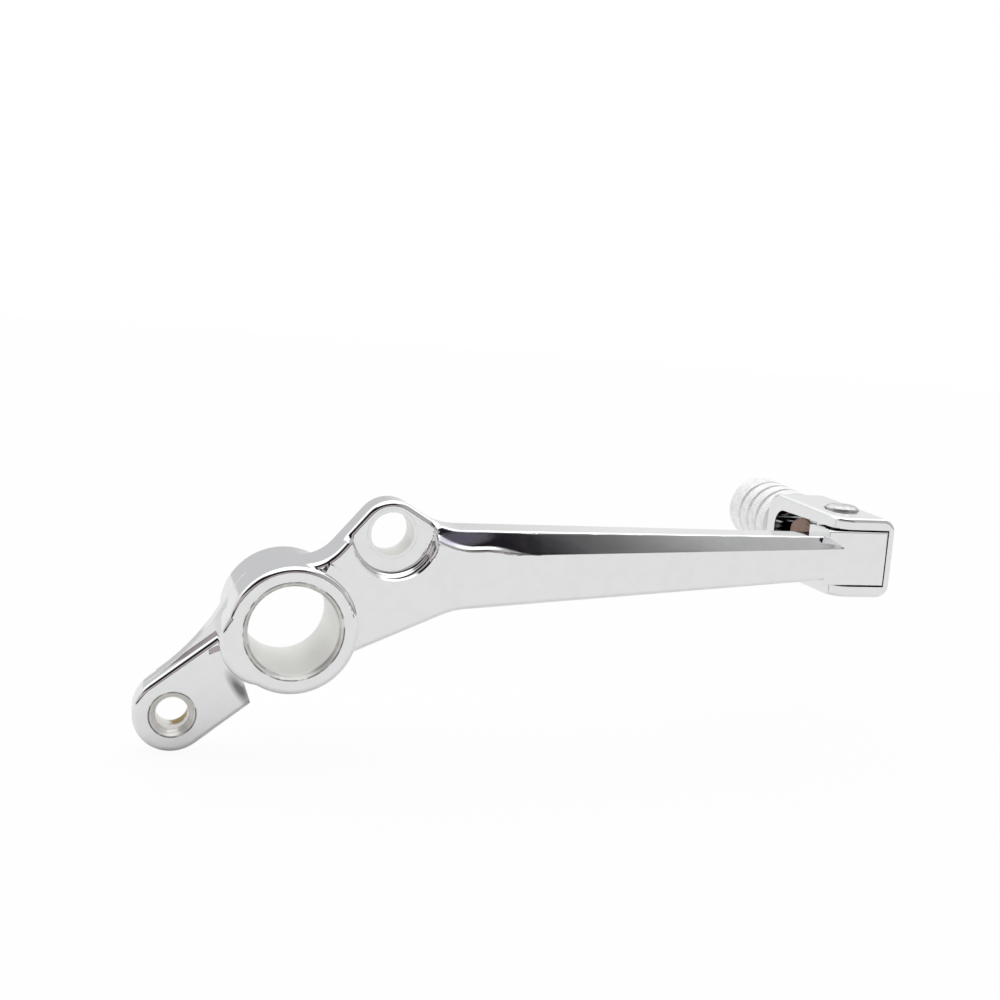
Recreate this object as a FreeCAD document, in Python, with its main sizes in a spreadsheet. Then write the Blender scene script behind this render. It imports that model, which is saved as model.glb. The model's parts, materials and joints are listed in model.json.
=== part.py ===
import FreeCAD, Part

import os

import Sketcher
from FreeCAD import Placement, Rotation, Vector

# Motorcycle gear shift lever with a folding toe peg.
# X runs along the lever from the pivot to the toe, Y along the pivot axis towards the peg, Z up.
# The origin is on the pivot axis, halfway along the boss. Depths are counted from the boss's front face.

# Overlap that cutting and joining solids get past a face
MARGIN = "1"

doc = FreeCAD.newDocument("gear_shift_lever")
sheet = doc.addObject("Spreadsheet::Sheet", "Sizes")

# Driving dimensions in millimetres and degrees
DRIVING_SIZES = {
    # pivot boss
    "boss_length": 22.6,
    "boss_radius": 13.0,
    "boss_round": 1.2,
    "bore_radius": 9.0,
    "bore_chamfer": 0.95,
    # plates: depth of each face behind the boss's front face
    "face_depth": 3.0,
    "back_depth": 14.6,
    "plate_round": 1.2,
    "back_round": 0.8,
    # arm
    "arm_root_top": 20.35,
    "arm_tip_top": 21.2,
    "arm_heel_x": 32.8,
    "arm_heel_z": 3.7,
    "arm_heel_round": 15.0,
    "arm_throat_round": 13.0,
    "arm_tip_bottom": 11.5,
    "arm_root_x": 6.0,
    "arm_root_z": -8.1,
    "taper_start_x": 30.0,
    "taper_tip_depth": 11.6,
    "arm_foot_round": 2.0,
    "arm_foot_start": -9.0,
    "arm_foot_span": 73.0,
    # bevel along the arm's upper front edge
    "bevel_start_x": 24.0,
    "bevel_start_z": 14.8,
    "bevel_end_reach": 4.9,
    "bevel_end_z": 18.8,
    "bevel_depth": 2.0,
    "bevel_end_angle": 63.0,
    # spot-faced lug above the boss
    "lug_x": 19.9,
    "lug_z": 18.9,
    "lug_radius": 6.8,
    "lug_hole_radius": 4.45,
    "lug_floor_depth": 7.0,
    "lug_spot_radius": 8.7,
    "lug_floor_round": 0.9,
    "lug_rim_chamfer": 0.35,
    "lug_rise": 50.0,
    "lug_fall": 31.0,
    "neck_start_x": -4.0,
    "neck_start_z": 12.2,
    "neck_top": 13.4,
    "neck_round": 9.0,
    # link arm
    "link_x": -22.35,
    "link_z": -19.1,
    "link_radius": 7.8,
    "link_angle": 37.7,
    "link_heel": 13.4,
    "link_step": 1.8,
    "link_step_rise": 5.3,
    "link_face_depth": 7.6,
    "link_hole_radius": 3.3,
    "link_countersink": 1.35,
    "link_foot_round": 2.2,
    "link_foot_start": 200.0,
    "link_foot_span": 50.0,
    "flare_depth": 10.5,
    "flare_reach": 2.0,
    "flare_angle": 155.0,
    "flare_round": 45.0,
    "shoulder_radius": 9.0,
    "shoulder_offset": 5.7,
    "shoulder_angle": 203.0,
    # end block and tongue
    "block_left": 117.6,
    "block_right": 132.7,
    "block_bottom": 10.5,
    "block_top": 22.8,
    "block_round": 0.4,
    "tongue_radius": 5.4,
    "pin_depth": 15.0,
    "pin_radius": 2.5,
    "slot_height": 5.6,
    "slot_front": 4.6,
    "slot_reach": 7.9,
    # folding clevis
    "ear_reach": 7.3,
    "ear_front_depth": 3.3,
    "ear_thickness": 2.5,
    "ear_corner": 4.2,
    "ear_rise": 1.2,
    "ear_gap": 0.35,
    "wall_gap": 0.3,
    "wall_thickness": 1.7,
    "hollow_depth": 32.6,
    "hollow_round": 4.0,
    "back_corner": 4.8,
    "clevis_round": 0.9,
    "clevis_corner": 3.0,
    # toe peg, with its axis tilted up from the pivot axis
    "peg_offset": 0.2,
    "peg_z": 18.4,
    "peg_depth": 37.0,
    "peg_tilt": 4.0,
    "peg_radius": 8.0,
    "peg_length": 20.2,
    "peg_chamfer": 0.7,
    "groove_pitch": 4.4,
    "groove_first": 4.6,
    "groove_width": 1.2,
    "groove_deep": 0.8,
    # fasteners and fits
    "running_clearance": 0.05,
    "seat_clearance": 0.02,
    "rivet_seat": 0.2,
    "rivet_seat_gap": 0.3,
    "rivet_head_radius": 3.8,
    "rivet_head_height": 1.2,
    "rivet_tail_radius": 3.4,
    "rivet_tail_height": 0.9,
    "screw_radius": 3.0,
    "screw_clearance": 0.2,
    "screw_head_radius": 5.0,
    "screw_head_height": 6.0,
    "screw_head_sunk": 0.6,
    "screw_tip_gap": 0.4,
    "socket_flats": 5.0,
    "socket_depth": 3.0,
    # torsion spring
    "wire_radius": 0.6,
    "coil_radius": 3.6,
    "coil_turns": 3.225,
    "coil_pitch": 1.25,
    "leg_one_length": 6.0,
    "leg_two_length": 9.0,
}

for row, (alias, number) in enumerate(DRIVING_SIZES.items(), start=1):
    sheet.set(f"A{row}", alias)
    sheet.set(f"B{row}", str(number))
    sheet.setAlias(f"B{row}", alias)
doc.recompute()


def size(formula):
    """Number that a formula of sheet sizes gives."""
    return float(sheet.evalExpression(formula.replace("Sizes.", "")))


def behind(alias):
    """Formula for the Y of a depth behind the boss's front face."""
    return f"(Sizes.{alias} - Sizes.boss_length / 2)"


def bind(thing, **formulas):
    """Ties properties to sheet formulas. Double underscores stand for dots."""
    for path, formula in formulas.items():
        thing.setExpression(path.replace("__", "."), formula)


def hold_point(sketch, geometry, end, x, y):
    """Fixes a sketch point by its two distances from the sketch's origin."""
    for kind, formula in (("DistanceX", x), ("DistanceY", y)):
        index = sketch.addConstraint(Sketcher.Constraint(kind, -1, 1, geometry, end, size(formula)))
        sketch.setExpression(f"Constraints[{index}]", formula)


def draw_outline(sketch, corners):
    """Closed outline of straight edges through corners given as pairs of formulas."""
    points = [Vector(size(x), size(y), 0) for x, y in corners]
    last = len(points) - 1
    for index, point in enumerate(points):
        following = points[0] if index == last else points[index + 1]
        sketch.addGeometry(Part.LineSegment(point, following), False)
    for index in range(len(points)):
        following = 0 if index == last else index + 1
        sketch.addConstraint(Sketcher.Constraint("Coincident", index, 2, following, 1))
    for index, (x, y) in enumerate(corners):
        hold_point(sketch, index, 1, x, y)


def front_sketch(name, corners):
    """Outline in the front view: sketch x is X, sketch y is Z."""
    sketch = doc.addObject("Sketcher::SketchObject", name)
    sketch.Placement = Placement(Vector(), Rotation(Vector(1, 0, 0), 90))
    draw_outline(sketch, corners)
    return sketch


def extrude(name, sketch, start, end):
    """Solid of a front outline between two Y formulas."""
    solid = doc.addObject("Part::Extrusion", name)
    solid.Base = sketch
    solid.DirMode = "Custom"
    solid.Dir = Vector(0, 1, 0)
    solid.Solid = True
    bind(solid, LengthFwd=f"{end} - ({start})", Placement__Base__y=start)
    return solid


def rod(name, x, z, radius, start, end):
    """Cylinder along Y at a front-view point."""
    solid = doc.addObject("Part::Cylinder", name)
    solid.Placement = Placement(Vector(), Rotation(Vector(1, 0, 0), -90))
    bind(solid, Radius=radius, Height=f"{end} - ({start})")
    bind(solid, Placement__Base__x=x, Placement__Base__y=start, Placement__Base__z=z)
    return solid


def post(name, x, y, radius, start, end):
    """Cylinder along Z at a plan-view point."""
    solid = doc.addObject("Part::Cylinder", name)
    bind(solid, Radius=radius, Height=f"{end} - ({start})")
    bind(solid, Placement__Base__x=x, Placement__Base__y=y, Placement__Base__z=start)
    return solid


def block(name, x, y, z):
    """Box between pairs of formulas."""
    solid = doc.addObject("Part::Box", name)
    bind(solid, Length=f"{x[1]} - ({x[0]})", Width=f"{y[1]} - ({y[0]})", Height=f"{z[1]} - ({z[0]})")
    bind(solid, Placement__Base__x=x[0], Placement__Base__y=y[0], Placement__Base__z=z[0])
    return solid


def flare(name, x, z, first, last, start, end):
    """Cone along Y with a radius at each end: the chamfer of a hole."""
    solid = doc.addObject("Part::Cone", name)
    solid.Placement = Placement(Vector(), Rotation(Vector(1, 0, 0), -90))
    bind(solid, Radius1=first, Radius2=last, Height=f"{end} - ({start})")
    bind(solid, Placement__Base__x=x, Placement__Base__y=start, Placement__Base__z=z)
    return solid


def fuse(name, *solids):
    """One solid from solids that belong together."""
    whole = doc.addObject("Part::MultiFuse", name)
    whole.Shapes = list(solids)
    whole.Refine = True
    return whole


def cut(name, base, *tools):
    """A solid with tools taken out of it."""
    tool = tools[0] if len(tools) == 1 else fuse(name + "_tools", *tools)
    rest = doc.addObject("Part::Cut", name)
    rest.Base = base
    rest.Tool = tool
    rest.Refine = True
    return rest


def sector(name, x, z, radius, start, end, first, span):
    """Part of a cylinder along Y, from one front-view angle over a span."""
    solid = rod(name, x, z, radius, start, end)
    turn = Rotation(Vector(0, 0, 1), -size(f"{first} + {span}"))
    solid.Placement.Rotation = Rotation(Vector(1, 0, 0), -90) * turn
    bind(solid, Angle=span)
    return solid


def foot(name, x, z, wall, blend, flat, first, span):
    """Hollow blend between a round wall along Y and the flat at its foot."""
    start = f"({flat} - {blend})"
    ring = sector(name + "_ring", x, z, f"({wall} + {blend})", start, f"({flat} + {MARGIN})", first, span)
    groove = doc.addObject("Part::Torus", name + "_groove")
    clear_of_seam = Rotation(Vector(0, 0, 1), 60 - size(first))
    groove.Placement = Placement(Vector(), Rotation(Vector(1, 0, 0), -90) * clear_of_seam)
    bind(groove, Radius1=f"{wall} + {blend}", Radius2=blend)
    bind(groove, Placement__Base__x=x, Placement__Base__y=start, Placement__Base__z=z)
    return cut(name, ring, groove)


def rounded(name, base, *choices):
    """Fillets on a solid: each choice is a radius and a test that picks edges."""
    doc.recompute()
    edges = []
    for radius, wanted in choices:
        for index, edge in enumerate(base.Shape.Edges, start=1):
            if wanted(edge):
                edges.append((index, radius, radius))
    solid = doc.addObject("Part::Fillet", name)
    solid.Base = base
    solid.Edges = edges
    return solid


def middle(edge):
    """Point halfway along an edge."""
    return edge.valueAt((edge.FirstParameter + edge.LastParameter) / 2)


def along_y(edge):
    """True for a straight edge along the pivot axis."""
    first, last = edge.Vertexes[0].Point, edge.Vertexes[-1].Point
    return abs(first.x - last.x) + abs(first.z - last.z) < 0.01


def upright_at(x, z):
    """Test for the straight edge along Y at a front-view point."""
    return lambda edge: along_y(edge) and Vector(edge.CenterOfMass.x - x, 0, edge.CenterOfMass.z - z).Length < 0.05


def through(x, y, z):
    """Test for edges that pass through a point."""
    spot = Part.Vertex(x, y, z)
    return lambda edge: edge.distToShape(spot)[0] < 0.02


def in_plane(y):
    """Test for edges that lie in one plane across the pivot axis."""
    return lambda edge: max(abs(vertex.Point.y - y) for vertex in edge.Vertexes) < 0.001


# Lever body: arm plate with the lug on its upper edge

FRONT = "(-Sizes.boss_length / 2)"
BACK = "(Sizes.boss_length / 2)"
FACE = behind("face_depth")
PLATE_BACK = behind("back_depth")
LINK_FACE = behind("link_face_depth")
LUG_LEFT_X = "(Sizes.lug_x - Sizes.lug_radius * sin(Sizes.lug_rise))"
LUG_LEFT_Z = "(Sizes.lug_z + Sizes.lug_radius * cos(Sizes.lug_rise))"
LUG_RIGHT_X = "(Sizes.lug_x + Sizes.lug_radius * sin(Sizes.lug_fall))"
LUG_RIGHT_Z = "(Sizes.lug_z + Sizes.lug_radius * cos(Sizes.lug_fall))"
NECK_X = f"({LUG_LEFT_X} - ({LUG_LEFT_Z} - Sizes.neck_top) / tan(Sizes.lug_rise))"
THROAT_X = f"({LUG_RIGHT_X} + ({LUG_RIGHT_Z} - Sizes.arm_root_top) / tan(Sizes.lug_fall))"
ARM_END_X = f"(Sizes.block_left + {MARGIN})"
BEVEL_END_X = "(Sizes.block_left + Sizes.bevel_end_reach)"

arm_outline = front_sketch("arm_outline", [
    ("Sizes.neck_start_x", "Sizes.neck_start_z"),
    (NECK_X, "Sizes.neck_top"),
    (LUG_LEFT_X, LUG_LEFT_Z),
    (LUG_RIGHT_X, LUG_RIGHT_Z),
    (THROAT_X, "Sizes.arm_root_top"),
    (ARM_END_X, "Sizes.arm_tip_top"),
    (ARM_END_X, "Sizes.arm_tip_bottom"),
    ("Sizes.arm_heel_x", "Sizes.arm_heel_z"),
    ("Sizes.arm_root_x", "Sizes.arm_root_z"),
])
arm_flat = extrude("arm_flat", arm_outline, FACE, PLATE_BACK)
lug_disc = rod("lug_disc", "Sizes.lug_x", "Sizes.lug_z", "Sizes.lug_radius", FACE, PLATE_BACK)
arm_sharp = fuse("arm_sharp", arm_flat, lug_disc)
arm_curved = rounded(
    "arm_curved", arm_sharp,
    (size("Sizes.neck_round"), upright_at(size(NECK_X), size("Sizes.neck_top"))),
    (size("Sizes.arm_throat_round"), upright_at(size(THROAT_X), size("Sizes.arm_root_top"))),
    (size("Sizes.arm_heel_round"), upright_at(size("Sizes.arm_heel_x"), size("Sizes.arm_heel_z"))),
)

# Bevel along the arm's upper front edge, drawn between a section near the lug and a slanted one in the end block

SECTION = Rotation(Vector(1, 1, 1), 120)
BEVEL_REACH = "14"
BEVEL_END_REACH = "8"
BEVEL_SLOPE = "(Sizes.bevel_depth / (Sizes.arm_root_top - Sizes.bevel_start_z))"
BEVEL_END_SLOPE = "(Sizes.bevel_depth * cos(Sizes.bevel_end_angle) / (Sizes.arm_tip_top - Sizes.bevel_end_z))"


def bevel_section(name, x, z, turn, slope, reach):
    """Section of the bevel: its lower corner on the arm's face, its upper one behind it."""
    sketch = doc.addObject("Sketcher::SketchObject", name)
    sketch.Placement = Placement(Vector(), Rotation(Vector(0, 1, 0), turn) * SECTION)
    bind(sketch, Placement__Base__x=x, Placement__Base__z=z)
    draw_outline(sketch, [
        (FACE, "0"),
        (f"{FACE} + {slope} * {reach}", reach),
        (f"{FACE} - {MARGIN}", reach),
        (f"{FACE} - {MARGIN}", "0"),
    ])
    return sketch


bevel = doc.addObject("Part::Loft", "bevel")
bevel.Sections = [
    bevel_section("bevel_start", "Sizes.bevel_start_x", "Sizes.bevel_start_z", 0, BEVEL_SLOPE, BEVEL_REACH),
    bevel_section("bevel_end", BEVEL_END_X, "Sizes.bevel_end_z", -size("Sizes.bevel_end_angle"),
                  BEVEL_END_SLOPE, BEVEL_END_REACH),
]
bevel.Solid = True
bevel.Ruled = True

# The arm's back runs forward towards its tip
taper_outline = doc.addObject("Sketcher::SketchObject", "taper_outline")
draw_outline(taper_outline, [
    ("Sizes.taper_start_x", PLATE_BACK),
    (ARM_END_X, behind("taper_tip_depth")),
    (f"{ARM_END_X} + {MARGIN}", behind("taper_tip_depth")),
    (f"{ARM_END_X} + {MARGIN}", f"{PLATE_BACK} + {MARGIN}"),
    ("Sizes.taper_start_x", f"{PLATE_BACK} + {MARGIN}"),
])
taper = doc.addObject("Part::Extrusion", "taper")
taper.Base = taper_outline
taper.DirMode = "Custom"
taper.Dir = Vector(0, 0, 1)
taper.Solid = True
bind(taper, LengthFwd="2 * Sizes.block_top")

arm_tapered = cut("arm_tapered", arm_curved, taper)
LUG_FLOOR = behind("lug_floor_depth")
lug_mill = rod("lug_mill", "Sizes.lug_x", "Sizes.lug_z", "Sizes.lug_spot_radius", f"{FACE} - {MARGIN}", LUG_FLOOR)
lug_spot = rounded("lug_spot", lug_mill, (size("Sizes.lug_floor_round"), in_plane(size(LUG_FLOOR))))
arm_cut = cut("arm_cut", arm_tapered, bevel, lug_spot)


ARM_MIDDLE = "((Sizes.arm_heel_x + Sizes.block_left) / 2)"
SHARE = f"(({ARM_MIDDLE} - Sizes.arm_heel_x) / ({ARM_END_X} - Sizes.arm_heel_x))"
MIDDLE_BOTTOM = f"(Sizes.arm_heel_z + (Sizes.arm_tip_bottom - Sizes.arm_heel_z) * {SHARE})"
RISE_X = f"({NECK_X} + ({LUG_LEFT_X} - {NECK_X}) * 0.35)"
RISE_Z = f"(Sizes.neck_top + ({LUG_LEFT_Z} - Sizes.neck_top) * 0.35)"


def on_crest(edge):
    """True for the edges between the bevel and the arm's upper side."""
    spot = middle(edge)
    behind_face = 1 < spot.y - size(FACE) < size("Sizes.bevel_depth") + 1.5
    along_arm = size("Sizes.lug_x + Sizes.lug_spot_radius") - 1 < spot.x < size("Sizes.block_left")
    return behind_face and along_arm and spot.z > size("Sizes.arm_root_top") - 0.2 and not along_y(edge)


def on_lug_rim(edge):
    """True for the edges between the spot-faced floor and the lug's outside."""
    off_axis = Vector(middle(edge).x - size("Sizes.lug_x"), 0, middle(edge).z - size("Sizes.lug_z")).Length
    flat_floor = size("Sizes.lug_spot_radius - Sizes.lug_floor_round")
    return in_plane(size(LUG_FLOOR))(edge) and off_axis < flat_floor - 0.05


def on_back_outline(edge):
    """True for the edges round the arm's back."""
    ends = [vertex.Point for vertex in edge.Vertexes]
    at_back = min(end.y for end in ends) > size(behind("taper_tip_depth")) - 0.1
    return at_back and abs(ends[0].x - ends[-1].x) > 0.3 and min(end.x for end in ends) > 3


arm_front = rounded(
    "arm_front", arm_cut,
    (size("Sizes.plate_round"), through(size(ARM_MIDDLE), size(FACE), size(MIDDLE_BOTTOM))),
    (size("Sizes.plate_round"), through(size(RISE_X), size(FACE), size(RISE_Z))),
    (size("Sizes.plate_round"), on_lug_rim),
)
arm_back = rounded(
    "arm_back", arm_front,
    (size("Sizes.back_round"), on_crest),
    (size("Sizes.back_round"), on_back_outline),
)
lug_mouth = flare("lug_mouth", "Sizes.lug_x", "Sizes.lug_z", "(Sizes.lug_spot_radius + Sizes.lug_rim_chamfer)",
                  "Sizes.lug_spot_radius", FACE, f"({FACE} + Sizes.lug_rim_chamfer)")
arm_plate = cut("arm_plate", arm_back, lug_mouth)

# Link arm


def link_point(along, across):
    """Front-view point from distances along and across the link arm, counted from its hole."""
    x = f"(Sizes.link_x + ({along}) * cos(Sizes.link_angle) - ({across}) * sin(Sizes.link_angle))"
    z = f"(Sizes.link_z + ({along}) * sin(Sizes.link_angle) + ({across}) * cos(Sizes.link_angle))"
    return x, z


LINK_END = "(-Sizes.link_x * cos(Sizes.link_angle) - Sizes.link_z * sin(Sizes.link_angle))"
LINK_LOW = "(-Sizes.link_radius)"
LINK_STEP = "(Sizes.link_step_rise - Sizes.link_radius)"
link_outline = front_sketch("link_outline", [
    link_point("0", LINK_LOW),
    link_point("Sizes.link_heel", LINK_LOW),
    link_point("Sizes.link_heel + Sizes.link_step", LINK_STEP),
    link_point(LINK_END, LINK_STEP),
    link_point(LINK_END, "Sizes.link_radius"),
    link_point("0", "Sizes.link_radius"),
])
link_flat = extrude("link_flat", link_outline, LINK_FACE, PLATE_BACK)
link_disc = rod("link_disc", "Sizes.link_x", "Sizes.link_z", "Sizes.link_radius", LINK_FACE, PLATE_BACK)
link_sharp = fuse("link_sharp", link_flat, link_disc)
LINK_TIP_X, LINK_TIP_Z = link_point("-Sizes.link_radius", "0")
link_plate = rounded(
    "link_plate", link_sharp,
    (size("Sizes.plate_round"), through(size(LINK_TIP_X), size(LINK_FACE), size(LINK_TIP_Z))),
    (size("Sizes.back_round"), through(size(LINK_TIP_X), size(PLATE_BACK), size(LINK_TIP_Z))),
)

# Pivot boss with its shoulder and the blends at its foot

boss_raw = rod("boss_raw", "0", "0", "Sizes.boss_radius", FRONT, BACK)
boss = rounded("boss", boss_raw, (size("Sizes.boss_round"), lambda edge: edge.isClosed()))
SHOULDER_X = "(Sizes.shoulder_offset * cos(Sizes.shoulder_angle))"
SHOULDER_Z = "(Sizes.shoulder_offset * sin(Sizes.shoulder_angle))"
shoulder_raw = rod("shoulder_raw", SHOULDER_X, SHOULDER_Z, "Sizes.shoulder_radius", FRONT, PLATE_BACK)
shoulder = rounded("shoulder", shoulder_raw, (size("Sizes.boss_round"), in_plane(size(FRONT))))
arm_foot = foot("arm_foot", "0", "0", "Sizes.boss_radius", "Sizes.arm_foot_round", FACE,
                "Sizes.arm_foot_start", "Sizes.arm_foot_span")
link_foot = foot("link_foot", SHOULDER_X, SHOULDER_Z, "Sizes.shoulder_radius", "Sizes.link_foot_round", LINK_FACE,
                 "Sizes.link_foot_start", "Sizes.link_foot_span")

# Flare of the link arm's upper side into the boss, behind its front half

TURN = "(Sizes.flare_angle - Sizes.link_angle)"
LINK_SHIFT = "(Sizes.link_z * cos(Sizes.link_angle) - Sizes.link_x * sin(Sizes.link_angle))"
TANGENT = f"((Sizes.link_radius + {LINK_SHIFT} - Sizes.boss_radius * sin({TURN})) / cos({TURN}))"
TOUCH_X = "(Sizes.boss_radius * cos(Sizes.flare_angle))"
TOUCH_Z = "(Sizes.boss_radius * sin(Sizes.flare_angle))"
FLARE_X = f"({TOUCH_X} - {TANGENT} * sin(Sizes.flare_angle))"
FLARE_Z = f"({TOUCH_Z} + {TANGENT} * cos(Sizes.flare_angle))"
flare_outline = front_sketch("flare_outline", [
    link_point("Sizes.flare_reach", "Sizes.link_radius"),
    (FLARE_X, FLARE_Z),
    (TOUCH_X, TOUCH_Z),
    ("0", "0"),
])
flare_flat = extrude("flare_flat", flare_outline, behind("flare_depth"), PLATE_BACK)
flare_curved = rounded("flare_curved", flare_flat,
                       (size("Sizes.flare_round"), upright_at(size(FLARE_X), size(FLARE_Z))))
# End block with the tongue that the folding toe turns on

PIN_X = "(Sizes.block_right - Sizes.tongue_radius)"
PIN_Y = behind("pin_depth")
TIP_BACK = behind("taper_tip_depth")
HEIGHT = ("Sizes.block_bottom", "Sizes.block_top")
MIDDLE_Z = "((Sizes.block_bottom + Sizes.block_top) / 2)"

block_raw = block("block_raw", ("Sizes.block_left", "Sizes.block_right"), (FACE, TIP_BACK), HEIGHT)
end_block = rounded("end_block", block_raw, (size("Sizes.block_round"), in_plane(size(FACE))))
tongue = post("tongue", PIN_X, PIN_Y, "Sizes.tongue_radius", *HEIGHT)
tongue_root = block("tongue_root", (f"({PIN_X} - Sizes.tongue_radius)", "Sizes.block_right"),
                    (f"({TIP_BACK} - {MARGIN})", PIN_Y), HEIGHT)

lever_raw = fuse("lever_raw", arm_plate, link_plate, boss, shoulder, arm_foot, link_foot,
                 flare_curved, end_block, tongue, tongue_root)

# Holes and the spring slot

bore = rod("bore", "0", "0", "Sizes.bore_radius", f"({FRONT} - {MARGIN})", f"({BACK} + {MARGIN})")
BORE_WIDE = "(Sizes.bore_radius + Sizes.bore_chamfer)"
bore_front = flare("bore_front", "0", "0", BORE_WIDE, "Sizes.bore_radius",
                   FRONT, f"({FRONT} + Sizes.bore_chamfer)")
bore_back = flare("bore_back", "0", "0", "Sizes.bore_radius", BORE_WIDE,
                  f"({BACK} - Sizes.bore_chamfer)", BACK)
lug_hole = rod("lug_hole", "Sizes.lug_x", "Sizes.lug_z", "Sizes.lug_hole_radius", FACE, f"({PLATE_BACK} + {MARGIN})")
link_hole = rod("link_hole", "Sizes.link_x", "Sizes.link_z", "Sizes.link_hole_radius",
                f"({LINK_FACE} - {MARGIN})", f"({PLATE_BACK} + {MARGIN})")
link_sink = flare("link_sink", "Sizes.link_x", "Sizes.link_z",
                  "(Sizes.link_hole_radius + Sizes.link_countersink)", "Sizes.link_hole_radius",
                  LINK_FACE, f"({LINK_FACE} + Sizes.link_countersink)")
pin_hole = post("pin_hole", PIN_X, PIN_Y, "(Sizes.pin_radius + Sizes.running_clearance)",
                f"(Sizes.block_bottom - {MARGIN})", f"(Sizes.block_top + {MARGIN})")
spring_slot = block("spring_slot", (f"({PIN_X} - Sizes.slot_reach)", f"(Sizes.block_right + {MARGIN})"),
                    (f"({PIN_Y} - Sizes.slot_front)", f"({PIN_Y} + Sizes.tongue_radius + {MARGIN})"),
                    (f"({MIDDLE_Z} - Sizes.slot_height / 2)", f"({MIDDLE_Z} + Sizes.slot_height / 2)"))
lever_body = cut("lever_body", lever_raw, bevel, bore, bore_front, bore_back, lug_hole, link_hole,
                 link_sink, pin_hole, spring_slot)

# Folding clevis: two ears, a back wall square to the peg, and a wall on the right-hand side

EAR_FRONT = behind("ear_front_depth")
HOLLOW_BACK = behind("hollow_depth")
PEG_X = f"({PIN_X} + Sizes.peg_offset)"
PEG_Y = behind("peg_depth")
EAR_LEFT = f"({PIN_X} - Sizes.ear_reach)"
TOP_IN = "(Sizes.block_top + Sizes.ear_gap)"
TOP_OUT = "(Sizes.block_top + Sizes.ear_gap + Sizes.ear_thickness)"
LOW_IN = "(Sizes.block_bottom - Sizes.ear_gap)"
LOW_OUT = "(Sizes.block_bottom - Sizes.ear_gap - Sizes.ear_thickness)"
TOP_BACK = f"({TOP_OUT} + Sizes.ear_rise)"
BACK_TOP = f"({PEG_Y} - tan(Sizes.peg_tilt) * ({TOP_BACK} - Sizes.peg_z))"
BACK_LOW = f"({PEG_Y} - tan(Sizes.peg_tilt) * ({LOW_OUT} - Sizes.peg_z))"
WALL_LEFT = "(Sizes.block_right + Sizes.wall_gap)"
CLEVIS_RIGHT = "(Sizes.block_right + Sizes.wall_gap + Sizes.wall_thickness)"


def body_sketch(body, role, offset, corners):
    """Outline on a plane of a body, moved along the plane's normal."""
    sketch = body.newObject("Sketcher::SketchObject", f"{body.Name}_outline")
    plane = next(feature for feature in body.Origin.OriginFeatures if feature.Role == role)
    sketch.AttachmentSupport = [(plane, "")]
    sketch.MapMode = "FlatFace"
    bind(sketch, AttachmentOffset__Base__z=offset)
    draw_outline(sketch, corners)
    return sketch


def body_rounds(body, radius, wanted):
    """Fillets on the edges of a body's last feature that a test picks."""
    doc.recompute()
    base = body.Tip
    names = [f"Edge{index}" for index, edge in enumerate(base.Shape.Edges, start=1) if wanted(edge)]
    fillet = body.newObject("PartDesign::Fillet", f"{body.Name}_rounds")
    fillet.Base = (base, names)
    bind(fillet, Radius=radius)
    return fillet


def body_bore(body, radius, height, rotation, x, y, z):
    """Round hole through a body from a point, along a rotated Z axis."""
    hole = body.newObject("PartDesign::SubtractiveCylinder", f"{body.Name}_bore")
    hole.Placement = Placement(Vector(), rotation)
    bind(hole, Radius=radius, Height=height)
    bind(hole, Placement__Base__x=x, Placement__Base__y=y, Placement__Base__z=z)
    return hole


toe_clevis = doc.addObject("PartDesign::Body", "toe_clevis")
clevis_bend = toe_clevis.newObject("PartDesign::Pad", "clevis_bend")
clevis_bend.Profile = body_sketch(toe_clevis, "YZ_Plane", EAR_LEFT, [
    (EAR_FRONT, TOP_OUT),
    (EAR_FRONT, TOP_IN),
    (HOLLOW_BACK, TOP_IN),
    (HOLLOW_BACK, LOW_IN),
    (EAR_FRONT, LOW_IN),
    (EAR_FRONT, LOW_OUT),
    (BACK_LOW, LOW_OUT),
    (BACK_TOP, TOP_BACK),
])
bind(clevis_bend, Length=f"{CLEVIS_RIGHT} - {EAR_LEFT}")
clevis_wall = toe_clevis.newObject("PartDesign::Pad", "clevis_wall")
clevis_wall.Profile = body_sketch(toe_clevis, "YZ_Plane", WALL_LEFT, [
    (EAR_FRONT, f"{TOP_IN} + {MARGIN}"),
    (EAR_FRONT, f"{LOW_IN} - {MARGIN}"),
    (f"{HOLLOW_BACK} + {MARGIN}", f"{LOW_IN} - {MARGIN}"),
    (f"{HOLLOW_BACK} + {MARGIN}", f"{TOP_IN} + {MARGIN}"),
])
bind(clevis_wall, Length="Sizes.wall_thickness")


def along_x_at(y, z):
    """Test for straight edges along X at a side-view point."""
    return lambda edge: Vector(0, middle(edge).y - y, middle(edge).z - z).Length < 0.01


def on_ear_corner(edge):
    """True for the short upright edges at the ears' front left corners."""
    spot = middle(edge)
    return Vector(spot.x - size(EAR_LEFT), spot.y - size(EAR_FRONT), 0).Length < 0.01


def on_clevis_skin(edge):
    """True for the edges of the clevis's outer upper, lower and right-hand faces."""
    spots = [middle(edge)] + [vertex.Point for vertex in edge.Vertexes]
    upper = min(spot.z for spot in spots) > size(TOP_OUT) - 0.01
    lower = max(spot.z for spot in spots) < size(LOW_OUT) + 0.01
    right = min(spot.x for spot in spots) > size(CLEVIS_RIGHT) - 0.01
    corner = Vector(spots[0].x - size(CLEVIS_RIGHT), 0, spots[0].z - size(LOW_OUT)).Length
    seam = along_y(edge) and abs(corner - size("Sizes.clevis_corner")) < 0.01
    return (upper or lower or right) and not seam


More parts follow.
